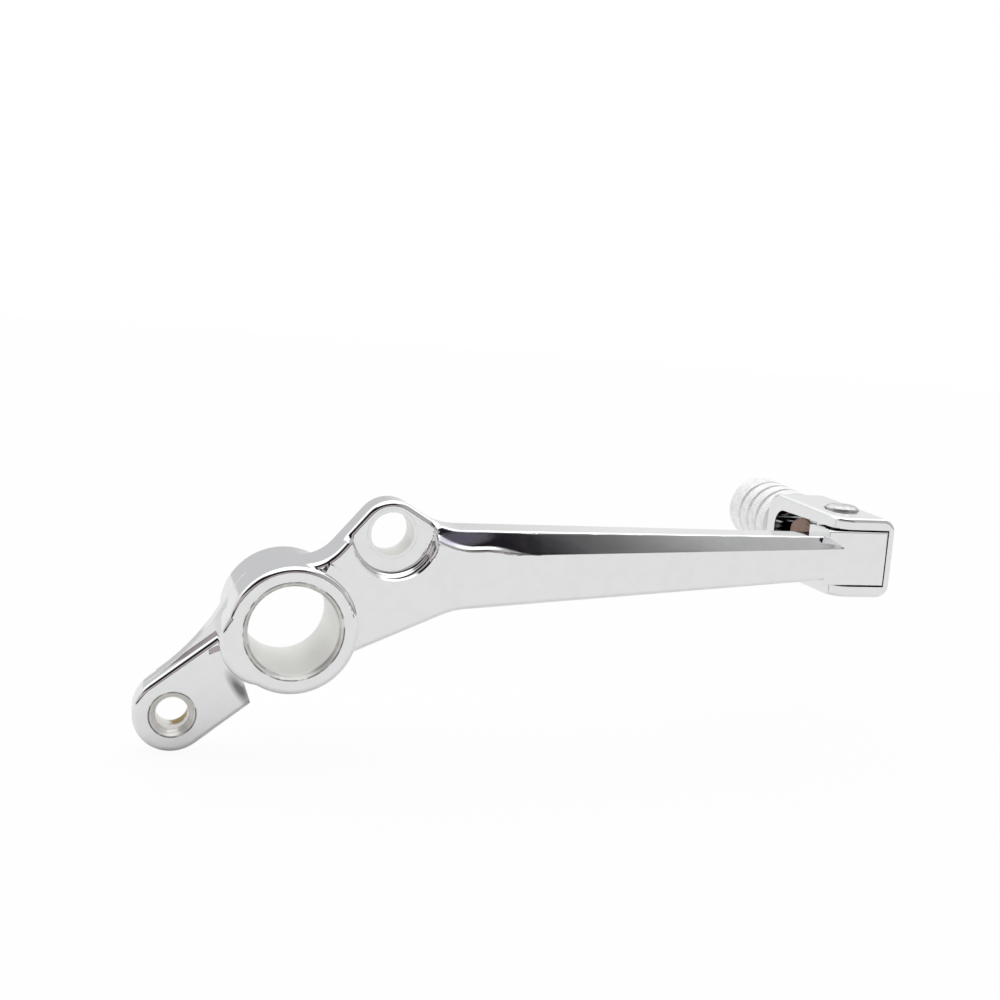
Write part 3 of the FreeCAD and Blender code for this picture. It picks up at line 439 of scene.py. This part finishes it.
def run_out(mesh, sizes):
    """Narrows the arm's bevel towards the lug. Each point moves forward by the bevel's depth at its height,
    times one minus a smooth step up the height: full under a hollow below a falling line, none over that line.
    On the wall of the lug's recess the move fades with the depth, to none at the recess's floor."""
    low = np.array([sizes.begin, sizes.face, sizes.edge_z - sizes.margin])
    high = np.array([sizes.end, sizes.face + sizes.floor, sizes.top])
    refine(mesh, low, high, sizes.step)
    points = coordinates(mesh)
    x, y, z = points.T
    along = np.clip((x - sizes.start) / (sizes.end - sizes.start), 0, 1)
    edge = sizes.edge_z + sizes.edge_rise * (x - sizes.start)
    first = np.clip(1 - along / sizes.first_end, 0, 1) ** 2
    last = 0.5 + 0.5 * np.cos(math.pi * np.clip((along - sizes.last_start) / (1 - sizes.last_start), 0, 1))
    fall = sizes.fall_first * first + sizes.fall_last * last
    width = np.clip(fall, LEAST_HOLLOW, sizes.hollow)
    rise = smooth_step((z - edge - fall + width) / width)
    depth = y - sizes.face
    bevel = np.minimum(depth, sizes.slope * np.clip(z - edge, 0, None))
    fade = np.clip((sizes.floor - depth) / (sizes.floor - bevel), 0, 1)
    inside = ((points > low) & (points < high)).all(axis=1)
    points[:, 1] = np.where(inside, y - bevel * fade * (1 - rise), y)
    mesh.vertices.foreach_set("co", points.ravel())
    mesh.update()


def smoothed(mesh, node, crease, body, material):
    """A piece for a merged copy of a CAD node: its flats stay flat and its rounds shade as one."""
    piece = show(mesh, crease, material)
    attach(piece, body)
    flats = piece.modifiers.new("Flats", "WEIGHTED_NORMAL")
    flats.mode = "FACE_AREA_WITH_ANGLE"
    flats.keep_sharp = True
    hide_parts(node)
    return piece


# Shader parts

def add(tree, kind, inputs=None, **settings):
    """A node with its settings, its values and its links."""
    made = tree.nodes.new(kind)
    for key, value in settings.items():
        setattr(made, key, value)
    for key, value in (inputs or {}).items():
        if isinstance(value, bpy.types.NodeSocket):
            tree.links.new(value, made.inputs[key])
        else:
            made.inputs[key].default_value = value
    return made


def mix(tree, factor, first, second):
    """One colour blended into another."""
    made = add(tree, "ShaderNodeMix", data_type="RGBA")
    for socket, value in zip((made.inputs[0], made.inputs[6], made.inputs[7]), (factor, first, second)):
        if isinstance(value, bpy.types.NodeSocket):
            tree.links.new(value, socket)
        else:
            socket.default_value = value if isinstance(value, float) else (*value, 1.0)
    return made.outputs[2]


def ramp(tree, value, stops):
    """Colours along a value, each at its own place."""
    made = add(tree, "ShaderNodeValToRGB", {0: value})
    stretch = made.color_ramp
    while len(stretch.elements) < len(stops):
        stretch.elements.new(0.5)
    for element, (at, shade) in zip(stretch.elements, stops):
        element.position = at
        element.color = (*shade, 1.0)
    return made.outputs[0]


def group(name, inputs, outputs):
    """An empty shader node group with its sockets, and the node at each end."""
    tree = bpy.data.node_groups.new(name, "ShaderNodeTree")
    for label, kind in inputs:
        tree.interface.new_socket(label, in_out="INPUT", socket_type=kind)
    for label in outputs:
        tree.interface.new_socket(label, in_out="OUTPUT", socket_type="NodeSocketFloat")
    return tree, tree.nodes.new("NodeGroupInput").outputs, tree.nodes.new("NodeGroupOutput").inputs


def from_axis(tree, given):
    """Distance of a point from an axis that runs along Y through a centre."""
    away = add(tree, "ShaderNodeVectorMath", {0: given["Vector"], 1: given["Centre"]}, operation="SUBTRACT")
    across = add(tree, "ShaderNodeVectorMath", {0: away.outputs[0], 1: (1, 0, 1)}, operation="MULTIPLY")
    return add(tree, "ShaderNodeVectorMath", {0: across.outputs[0]}, operation="LENGTH").outputs["Value"]


def hole_group():
    """How far inside a hole a point lies: 1 on its wall and 0 outside, for a hole whose axis runs along Y."""
    tree, given, result = group(
        "hole_wall",
        [("Vector", "NodeSocketVector"), ("Centre", "NodeSocketVector"), ("Radius", "NodeSocketFloat")],
        ["Mask"])
    far = from_axis(tree, given)
    inside = add(tree, "ShaderNodeMath", {0: far, 1: given["Radius"]}, operation="LESS_THAN")
    tree.links.new(inside.outputs[0], result["Mask"])
    return tree


def turning_group():
    """Fine tool marks along Y that waver a little, from 0 in a mark to 1 on a crest."""
    tree, given, result = group(
        "turning_marks", [("Vector", "NodeSocketVector"), ("Pitch", "NodeSocketFloat")], ["Height"])
    waver = add(tree, "ShaderNodeTexNoise", {"Vector": given["Vector"], "Scale": 180.0, "Detail": 2.0})
    parts = add(tree, "ShaderNodeSeparateXYZ", {0: given["Vector"]})
    turns = add(tree, "ShaderNodeMath", {0: parts.outputs[1], 1: given["Pitch"]}, operation="DIVIDE")
    moved = add(tree, "ShaderNodeMath",
                {0: waver.outputs[0], 1: 1.6, 2: turns.outputs[0]}, operation="MULTIPLY_ADD")
    phase = add(tree, "ShaderNodeMath", {0: moved.outputs[0], 1: 2 * math.pi}, operation="MULTIPLY")
    wave = add(tree, "ShaderNodeMath", {0: phase.outputs[0]}, operation="SINE")
    level = add(tree, "ShaderNodeMapRange", {"Value": wave.outputs[0], "From Min": -1.0})
    tree.links.new(level.outputs[0], result["Height"])
    return tree


def patch_group():
    """A ragged patch about a point: 1 in its middle, 0 outside its reach."""
    tree, given, result = group(
        "ragged_patch",
        [("Vector", "NodeSocketVector"), ("Centre", "NodeSocketVector"), ("Reach", "NodeSocketFloat")],
        ["Mask"])
    ragged = add(tree, "ShaderNodeTexNoise", {"Vector": given["Vector"], "Scale": 900.0, "Detail": 3.0})
    far = add(tree, "ShaderNodeVectorMath", {0: given["Vector"], 1: given["Centre"]}, operation="DISTANCE")
    part = add(tree, "ShaderNodeMath", {0: far.outputs["Value"], 1: given["Reach"]}, operation="DIVIDE")
    edge = add(tree, "ShaderNodeMath",
               {0: ragged.outputs[0], 1: 0.9, 2: part.outputs[0]}, operation="MULTIPLY_ADD")
    mask = add(tree, "ShaderNodeMapRange", {"Value": edge.outputs[0], "From Min": 1.2, "From Max": 0.85})
    tree.links.new(mask.outputs[0], result["Mask"])
    return tree


def streak_group():
    """A soft, stretched and turned spot about a point: 1 in its middle and 0 at its edge."""
    tree, given, result = group(
        "soft_streak",
        [("Vector", "NodeSocketVector"), ("Centre", "NodeSocketVector"), ("Turn", "NodeSocketVector"),
         ("Stretch", "NodeSocketVector")],
        ["Mask"])
    away = add(tree, "ShaderNodeVectorMath", {0: given["Vector"], 1: given["Centre"]}, operation="SUBTRACT")
    turned = add(tree, "ShaderNodeMapping", {"Vector": away.outputs[0], "Rotation": given["Turn"]})
    shrunk = add(tree, "ShaderNodeVectorMath",
                 {0: turned.outputs[0], 1: given["Stretch"]}, operation="DIVIDE")
    far = add(tree, "ShaderNodeVectorMath", {0: shrunk.outputs[0]}, operation="LENGTH")
    mask = add(tree, "ShaderNodeMapRange", {"Value": far.outputs["Value"], "From Min": 1.0, "From Max": 0.3})
    tree.links.new(mask.outputs[0], result["Mask"])
    return tree


def rim_group():
    """A thin line round a hole whose axis runs along Y: 1 at a radius, 0 a little way off it, broken up by noise.
    It draws the painted shade of a hole's rounded edge.
    """
    tree, given, result = group(
        "rim_line",
        [("Vector", "NodeSocketVector"), ("Centre", "NodeSocketVector"), ("Radius", "NodeSocketFloat"),
         ("Width", "NodeSocketFloat"), ("Strength", "NodeSocketFloat")],
        ["Mask"])
    far = from_axis(tree, given)
    off = add(tree, "ShaderNodeMath", {0: far, 1: given["Radius"]}, operation="SUBTRACT")
    near = add(tree, "ShaderNodeMath", {0: off.outputs[0]}, operation="ABSOLUTE")
    line = add(tree, "ShaderNodeMapRange",
               {"Value": near.outputs[0], "From Min": given["Width"], "From Max": 0.0})
    broken = add(tree, "ShaderNodeTexNoise", {"Vector": given["Vector"], "Scale": 500.0, "Detail": 1.0})
    worn = add(tree, "ShaderNodeMapRange", {"Value": broken.outputs[0], "From Min": 0.3, "From Max": 0.5})
    drawn = add(tree, "ShaderNodeMath", {0: line.outputs[0], 1: worn.outputs[0]}, operation="MULTIPLY")
    mask = add(tree, "ShaderNodeMath", {0: drawn.outputs[0], 1: given["Strength"]}, operation="MULTIPLY")
    tree.links.new(mask.outputs[0], result["Mask"])
    return tree


def seam_group():
    """The thin ridge where two mould halves met: 1 on a plane across one axis, 0 away from it, and only on
    the far side of a second plane."""
    tree, given, result = group(
        "casting_seam",
        [("Across", "NodeSocketFloat"), ("Plane", "NodeSocketFloat"), ("Width", "NodeSocketFloat"),
         ("Along", "NodeSocketFloat"), ("Start", "NodeSocketFloat")],
        ["Height"])
    off = add(tree, "ShaderNodeMath", {0: given["Across"], 1: given["Plane"]}, operation="SUBTRACT")
    near = add(tree, "ShaderNodeMath", {0: off.outputs[0]}, operation="ABSOLUTE")
    ridge = add(tree, "ShaderNodeMapRange",
                {"Value": near.outputs[0], "From Min": given["Width"], "From Max": 0.0})
    beyond = add(tree, "ShaderNodeMath", {0: given["Along"], 1: given["Start"]}, operation="GREATER_THAN")
    height = add(tree, "ShaderNodeMath", {0: ridge.outputs[0], 1: beyond.outputs[0]}, operation="MULTIPLY")
    tree.links.new(height.outputs[0], result["Height"])
    return tree


def ripple_group():
    """Slow waves and fine haze of a hand-polished surface, both from 0 to 1."""
    tree, given, result = group(
        "polished_ripple",
        [("Vector", "NodeSocketVector"), ("Length", "NodeSocketFloat")],
        ["Height", "Haze"])
    scale = add(tree, "ShaderNodeMath", {0: 1.0, 1: given["Length"]}, operation="DIVIDE")
    slow = add(tree, "ShaderNodeTexNoise",
               {"Vector": given["Vector"], "Scale": scale.outputs[0], "Detail": 1.0})
    fine = add(tree, "ShaderNodeTexNoise", {"Vector": given["Vector"], "Scale": 420.0, "Detail": 4.0})
    haze = add(tree, "ShaderNodeMapRange", {"Value": fine.outputs[0], "From Min": 0.42, "From Max": 0.68})
    tree.links.new(slow.outputs[0], result["Height"])
    tree.links.new(haze.outputs[0], result["Haze"])
    return tree


def use(tree, name, make, inputs):
    """A node that runs a shared group, which is made once."""
    shared = bpy.data.node_groups.get(name) or make()
    return add(tree, "ShaderNodeGroup", inputs, node_tree=shared).outputs


def strongest(tree, masks):
    """The largest of several masks."""
    largest, *others = masks
    for mask in others:
        largest = add(tree, "ShaderNodeMath", {0: largest, 1: mask}, operation="MAXIMUM").outputs[0]
    return largest


def blank(name):
    """A new material: its tree, its shader and the object's own coordinates."""
    material = bpy.data.materials.new(name)
    material.use_nodes = True
    tree = material.node_tree
    at = add(tree, "ShaderNodeTexCoord").outputs["Object"]
    return material, tree, tree.nodes["Principled BSDF"], at


def plated(name, sizes, across, plane, along, start):
    """Chrome plate with slow polishing waves, a little haze and the casting seam on one plane."""
    material, tree, shader, at = blank(name)
    parts = add(tree, "ShaderNodeSeparateXYZ", {0: at}).outputs
    ahead = add(tree, "ShaderNodeMath", {0: parts[0], 1: along}, operation="MULTIPLY").outputs[0]
    seam = use(tree, "casting_seam", seam_group, {
        "Across": parts[across], "Plane": plane, "Width": sizes.seam,
        "Along": ahead, "Start": start})["Height"]
    ripple = use(tree, "polished_ripple", ripple_group, {"Vector": at, "Length": sizes.ripple})
    tint = mix(tree, ripple["Haze"], sizes.plate, sizes.plate_dull)
    dull = add(tree, "ShaderNodeMapRange",
               {"Value": ripple["Haze"], "To Min": sizes.polish, "To Max": sizes.haze})
    ridge = add(tree, "ShaderNodeBump", {"Height": seam, "Distance": sizes.seam_height})
    waves = add(tree, "ShaderNodeBump",
                {"Height": ripple["Height"], "Distance": sizes.ripple_height, "Normal": ridge.outputs[0]})
    shader.inputs["Metallic"].default_value = 1.0
    tree.links.new(tint, shader.inputs["Base Color"])
    tree.links.new(dull.outputs[0], shader.inputs["Roughness"])
    tree.links.new(waves.outputs[0], shader.inputs["Normal"])
    return material


def plated_with_bores(name, sizes, holes, rims):
    """Chrome plate whose holes are bare, turned metal with painted shade lines round their rims and a grease stain
    in one of them, with a painted shade streak on one spot of the plate and a painted violet reflection on
    another."""
    material = plated(name, sizes, across=1, plane=sizes.seam_plane, along=-1.0, start=sizes.seam_start)
    tree = material.node_tree
    shader = tree.nodes["Principled BSDF"]
    at = tree.nodes["Texture Coordinate"].outputs["Object"]
    plate = shader.inputs["Base Color"].links[0].from_socket
    dull = shader.inputs["Roughness"].links[0].from_socket
    waves = shader.inputs["Normal"].links[0].from_node
    bare = strongest(tree, [
        use(tree, "hole_wall", hole_group, {"Vector": at, "Centre": centre, "Radius": radius})["Mask"]
        for centre, radius in holes])
    # Painted shade lines round the holes' rims
    painted_edge_shade = strongest(tree, [
        use(tree, "rim_line", rim_group, {
            "Vector": at, "Centre": centre, "Radius": radius,
            "Width": sizes.rim_width, "Strength": strength})["Mask"]
        for centre, radius, strength in rims])
    marks = use(tree, "turning_marks", turning_group, {"Vector": at, "Pitch": sizes.turning_pitch})["Height"]
    stain = use(tree, "ragged_patch", patch_group,
                {"Vector": at, "Centre": sizes.stain_place, "Reach": sizes.stain_reach})["Mask"]
    # Painted shade: the darker streak at the foot of the boss
    streak = use(tree, "soft_streak", streak_group, {
        "Vector": at, "Centre": sizes.shade_place, "Turn": (0.0, sizes.shade_lean, 0.0),
        "Stretch": (sizes.shade_width, sizes.shade_depth, sizes.shade_length)})["Mask"]
    # Painted reflection: the violet tint at the start of the bevel
    painted_reflection = use(tree, "soft_streak", streak_group, {
        "Vector": at, "Centre": sizes.reflection_place, "Turn": (0.0, sizes.reflection_lean, 0.0),
        "Stretch": (sizes.reflection_length, sizes.reflection_depth, sizes.reflection_width)})["Mask"]
    # The painted shade streak and the painted violet reflection are laid over the plate's colour
    plate = mix(tree, painted_reflection, mix(tree, streak, plate, sizes.painted_shade), sizes.painted_reflection)
    turned = mix(tree, marks, sizes.bare, sizes.bare_light)
    soiled = mix(tree, stain, turned, sizes.stain)
    rough = add(tree, "ShaderNodeMapRange",
                {"Value": marks, "To Min": sizes.mark_rough, "To Max": sizes.crest_rough})
    rougher = add(tree, "ShaderNodeMix", {0: bare, 2: dull, 3: rough.outputs[0]})
    depth = add(tree, "ShaderNodeMath", {0: marks, 1: bare}, operation="MULTIPLY")
    grain = add(tree, "ShaderNodeBump",
                {"Height": depth.outputs[0], "Distance": sizes.turning_depth, "Normal": waves.outputs[0]})
    clean = add(tree, "ShaderNodeMapRange", {"Value": stain, "To Min": sizes.bare_gloss, "To Max": 0.0})
    # Less metallic under the painted violet reflection on the plate, and under the grease stain in the bores
    reflected_metallic = add(tree, "ShaderNodeMapRange", {"Value": painted_reflection, "To Min": 1.0, "To Max": sizes.reflection_gloss})
    grease_and_reflection_metallic = add(tree, "ShaderNodeMix", {0: bare, 2: reflected_metallic.outputs[0], 3: clean.outputs[0]})
    # The painted shade lines go over both the plate and the bare bores
    finish = mix(tree, painted_edge_shade, mix(tree, bare, plate, soiled), sizes.rim)
    tree.links.new(finish, shader.inputs["Base Color"])
    tree.links.new(rougher.outputs[0], shader.inputs["Roughness"])
    tree.links.new(grease_and_reflection_metallic.outputs[0], shader.inputs["Metallic"])
    tree.links.new(grain.outputs[0], shader.inputs["Normal"])
    return material


# Length in metres of the waves in the sheen, and the shares of the roughness between which it swings
SHEEN_LENGTH = 0.004
SHEEN_SWING = (0.85, 1.25)


def satin(name, light, dark, roughness, metallic):
    """Metal with a fine uneven sheen between a light and a dark tone."""
    material, tree, shader, at = blank(name)
    ripple = use(tree, "polished_ripple", ripple_group, {"Vector": at, "Length": SHEEN_LENGTH})
    least, most = (roughness * swing for swing in SHEEN_SWING)
    sheen = add(tree, "ShaderNodeMapRange", {"Value": ripple["Haze"], "To Min": least, "To Max": most})
    shader.inputs["Metallic"].default_value = metallic
    tree.links.new(mix(tree, ripple["Haze"], light, dark), shader.inputs["Base Color"])
    tree.links.new(sheen.outputs[0], shader.inputs["Roughness"])
    return material


def soil(material, place, reach, tone):
    """A dull ragged patch laid over a finished metal."""
    tree = material.node_tree
    shader = tree.nodes["Principled BSDF"]
    at = tree.nodes["Texture Coordinate"].outputs["Object"]
    patch = use(tree, "ragged_patch", patch_group, {"Vector": at, "Centre": place, "Reach": reach})["Mask"]
    metal = shader.inputs["Base Color"].links[0].from_socket
    gloss = shader.inputs["Metallic"].default_value
    dulled = add(tree, "ShaderNodeMapRange", {"Value": patch, "To Min": gloss, "To Max": 0.0})
    tree.links.new(mix(tree, patch, metal, tone), shader.inputs["Base Color"])
    tree.links.new(dulled.outputs[0], shader.inputs["Metallic"])


# Pieces

class LEVER_OT_castings(bpy.types.Operator):
    """Plates the lever and the clevis"""

    bl_idname = "lever.castings"
    bl_label = "Plated castings"

    def execute(self, context):
        sizes = context.scene.lever_plating
        centre = {mount["name"]: mount["pos_m"] for mount in frame["record"]["mounts"]}
        radius = {mount["name"]: mount["dims"]["r_mm"] / 1000 for mount in frame["record"]["mounts"]}
        mouth = {"pivot_bore": sizes.bore_chamfer, "link_hole": sizes.countersink, "lug_hole": 0.0}
        holes = [(centre[name], radius[name] + mouth[name] + sizes.hole_margin) for name in centre]
        # Painted shade: each rim line is a dark line drawn where a hole's edge shows shade
        rims = [
            (centre["pivot_bore"], radius["pivot_bore"] + sizes.bore_chamfer, 1.0),
            (centre["pivot_bore"], radius["pivot_bore"] + sizes.rim_width, sizes.rim_faint),
            (centre["link_hole"], radius["link_hole"] + sizes.countersink, 1.0),
            (centre["lug_hole"], radius["lug_hole"] + sizes.lug_edge_line, sizes.lug_line_faint),
        ]
        lever = plated_with_bores("lever_plate", sizes, holes, rims)
        mesh = merged("lever_casting", "lever_body")
        run_out(mesh, context.scene.lever_run_out)
        smoothed(mesh, "lever_body", sizes.crease, "lever", lever)
        low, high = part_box("toe_clevis")
        clevis = plated("clevis_plate", sizes, across=2, plane=(low.z + high.z) / 2, along=1.0,
                        start=high.x - sizes.seam_reach)
        mesh = merged("clevis_casting", "toe_clevis")
        smoothed(mesh, "toe_clevis", sizes.crease, "toe", clevis)
        return {"FINISHED"}


class LEVER_OT_peg(bpy.types.Operator):
    """Turns the knurled toe peg"""

    bl_idname = "lever.peg"
    bl_label = "Knurled toe peg"

    def execute(self, context):
        sizes = context.scene.lever_peg
        mesh = peg_surface(sizes)
        metal = satin("peg_aluminium", sizes.metal, sizes.metal_dark, sizes.satin, sizes.gloss)
        piece = show(mesh, sizes.crease, metal)
        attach(piece, "toe")
        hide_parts("toe_peg")
        return {"FINISHED"}


class LEVER_OT_steel(bpy.types.Operator):
    """Finishes the rivet and the screw"""

    bl_idname = "lever.steel"
    bl_label = "Rivet and screw"

    def execute(self, context):
        sizes = context.scene.lever_steel
        steel = satin("rivet_steel", sizes.steel, sizes.steel_dark, sizes.brushing, 1.0)
        smoothed(merged("rivet_finish", "hinge_rivet"), "hinge_rivet", sizes.crease, "toe", steel)
        screw = satin("screw_steel", sizes.steel, sizes.steel_dark, sizes.brushing, 1.0)
        soil(screw, sizes.sealant_place, sizes.sealant_reach, sizes.sealant)
        smoothed(merged("screw_finish", "peg_screw"), "peg_screw", sizes.crease, "toe", screw)
        return {"FINISHED"}


class LEVER_OT_spring(bpy.types.Operator):
    """Winds the return spring, whose second leg follows the clevis"""

    bl_idname = "lever.spring"
    bl_label = "Return spring"

    def execute(self, context):
        sizes = context.scene.lever_spring
        middle = Vector(frame["joints"][0]["pos_m"])
        wire = satin("spring_wire", sizes.wire, sizes.wire_light, sizes.drawing, 1.0)
        piece = show(spring_surface(sizes, middle), sizes.crease, wire)
        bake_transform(piece)
        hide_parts("return_spring")
        return {"FINISHED"}


# Studio

def white_world(sizes):
    """A white tent with a bright roof and an opening on the camera's side. The camera sees plain white."""
    world = bpy.data.worlds.new("white_tent")
    world.use_nodes = True
    tree = world.node_tree
    tree.nodes.clear()
    way = add(tree, "ShaderNodeTexCoord").outputs["Generated"]
    parts = add(tree, "ShaderNodeSeparateXYZ", {0: way}).outputs
    forward = add(tree, "ShaderNodeMath", {0: parts[1], 1: -1.0}, operation="MULTIPLY").outputs[0]
    round_about = add(tree, "ShaderNodeMath", {0: parts[0], 1: forward}, operation="ARCTAN2").outputs[0]
    sideways = add(tree, "ShaderNodeMapRange", {"Value": parts[0], "From Min": -1.0}).outputs[0]
    low_wall = ramp(tree, sideways, list(zip(
        sizes.wall_places, (sizes.side, sizes.wall, sizes.wall, sizes.side))))
    risen = add(tree, "ShaderNodeMapRange",
                {"Value": parts[2], "From Min": sizes.roof_low, "From Max": sizes.roof_high})
    closed = mix(tree, risen.outputs[0], low_wall, sizes.roof)
    soft = sizes.gap_edge
    opened = ramp(tree, parts[2], [
        (math.sin(sizes.sill_top - soft), sizes.sill), (math.sin(sizes.sill_top + soft), sizes.room),
        (math.sin(sizes.room_top - soft), sizes.room), (math.sin(sizes.room_top + soft), sizes.gap),
        (math.sin(sizes.gap_top - soft), sizes.gap), (math.sin(sizes.gap_top + 3 * soft), sizes.roof)])
    turn = add(tree, "ShaderNodeMapRange", {"Value": round_about, "From Min": -math.pi, "From Max": math.pi})
    stops = [
        (sizes.gap_left - 2 * sizes.gap_fade, 0.0), (sizes.gap_left, 1.0), (sizes.gap_right, 1.0),
        (sizes.gap_right + sizes.gap_fade, sizes.gap_rest), (sizes.rest_end, sizes.gap_rest),
        (sizes.rest_gone, 0.0)]
    open_share = ramp(tree, turn.outputs[0], [(0.5 + at / (2 * math.pi), (part,) * 3) for at, part in stops])
    tent = mix(tree, open_share, closed, opened)
    light = add(tree, "ShaderNodeBackground", {"Color": tent})
    plain = add(tree, "ShaderNodeBackground", {"Color": (1, 1, 1, 1)})
    path = add(tree, "ShaderNodeLightPath")
    seen = add(tree, "ShaderNodeMixShader",
               {0: path.outputs["Is Camera Ray"], 1: light.outputs[0], 2: plain.outputs[0]})
    add(tree, "ShaderNodeOutputWorld", {"Surface": seen.outputs[0]})
    return world


def paper_material(sizes):
    """White paper that the camera sees almost shadowless."""
    material, tree, shader, at = blank("table_paper")
    fibre = add(tree, "ShaderNodeTexNoise", {"Vector": at, "Scale": 900.0, "Detail": 2.0})
    tone = mix(tree, fibre.outputs[0], [part * sizes.fibre for part in sizes.paper], sizes.paper)
    shader.inputs["Roughness"].default_value = 0.9
    tree.links.new(tone, shader.inputs["Base Color"])
    glow = add(tree, "ShaderNodeEmission", {"Color": (1, 1, 1, 1), "Strength": 1.0})
    path = add(tree, "ShaderNodeLightPath")
    keep = add(tree, "ShaderNodeMath",
               {0: path.outputs["Is Camera Ray"], 1: 1 - sizes.shadow}, operation="MULTIPLY")
    seen = add(tree, "ShaderNodeMixShader", {0: keep.outputs[0], 1: shader.outputs[0], 2: glow.outputs[0]})
    tree.links.new(seen.outputs[0], tree.nodes["Material Output"].inputs["Surface"])
    return material


class LEVER_OT_studio(bpy.types.Operator):
    """Sets up the table, the light and the camera"""

    bl_idname = "lever.studio"
    bl_label = "Studio"

    def execute(self, context):
        sizes = context.scene.lever_studio
        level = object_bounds()[0].z - sizes.floor_gap
        turn = np.linspace(0, 2 * math.pi, sizes.floor_points, endpoint=False)
        rim = np.stack([np.cos(turn), np.sin(turn), np.full_like(turn, level)], axis=-1)
        rim[:, :2] *= sizes.floor_radius
        mesh = bpy.data.meshes.new("table")
        mesh.from_pydata(rim.tolist(), [], [list(range(len(turn)))])
        mesh.materials.append(paper_material(sizes))
        table = bpy.data.objects.new("table", mesh)
        context.scene.collection.objects.link(table)
        table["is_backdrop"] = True
        context.scene.world = white_world(sizes)
        context.scene.view_settings.view_transform = "Standard"
        lens = bpy.data.cameras.new("photo_camera")
        lens.lens = sizes.lens
        lens.sensor_width = 36.0
        lens.clip_start = 0.01
        camera = bpy.data.objects.new("photo_camera", lens)
        camera.location = sizes.camera_place
        camera.rotation_euler = sizes.camera_turn
        context.scene.collection.objects.link(camera)
        context.scene.camera = camera
        return {"FINISHED"}


class LEVER_PT_panel(bpy.types.Panel):
    """Sizes and finishes of the lever"""

    bl_idname = "LEVER_PT_panel"
    bl_label = "Gear shift lever"
    bl_space_type = "VIEW_3D"
    bl_region_type = "UI"
    bl_category = "Lever"

    def draw(self, context):
        for operator, groups in STEPS.items():
            self.layout.operator(operator.bl_idname)
            for name in groups:
                values = getattr(context.scene, name)
                for key in GROUPS[name].__annotations__:
                    self.layout.prop(values, key)


GROUPS = {
    "lever_plating": PlatingProperties,
    "lever_run_out": RunOutProperties,
    "lever_peg": PegProperties,
    "lever_steel": SteelProperties,
    "lever_spring": SpringProperties,
    "lever_studio": StudioProperties,
}
STEPS = {
    LEVER_OT_castings: ("lever_plating", "lever_run_out"),
    LEVER_OT_peg: ("lever_peg",),
    LEVER_OT_steel: ("lever_steel",),
    LEVER_OT_spring: ("lever_spring",),
    LEVER_OT_studio: ("lever_studio",),
}


def register():
    """Adds the settings, the operators and the panel."""
    for name, kind in GROUPS.items():
        bpy.utils.register_class(kind)
        setattr(bpy.types.Scene, name, PointerProperty(type=kind))
    for operator in STEPS:
        bpy.utils.register_class(operator)
    bpy.utils.register_class(LEVER_PT_panel)


def unregister():
    """Takes them away again."""
    bpy.utils.unregister_class(LEVER_PT_panel)
    for operator in STEPS:
        bpy.utils.unregister_class(operator)
    for name, kind in GROUPS.items():
        delattr(bpy.types.Scene, name)
        bpy.utils.unregister_class(kind)


def main():
    """Builds the looks on the frame."""
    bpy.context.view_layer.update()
    register()
    bpy.ops.lever.castings()
    bpy.ops.lever.peg()
    bpy.ops.lever.steel()
    bpy.ops.lever.spring()
    bpy.ops.lever.studio()


if __name__ == "__main__":
    main()
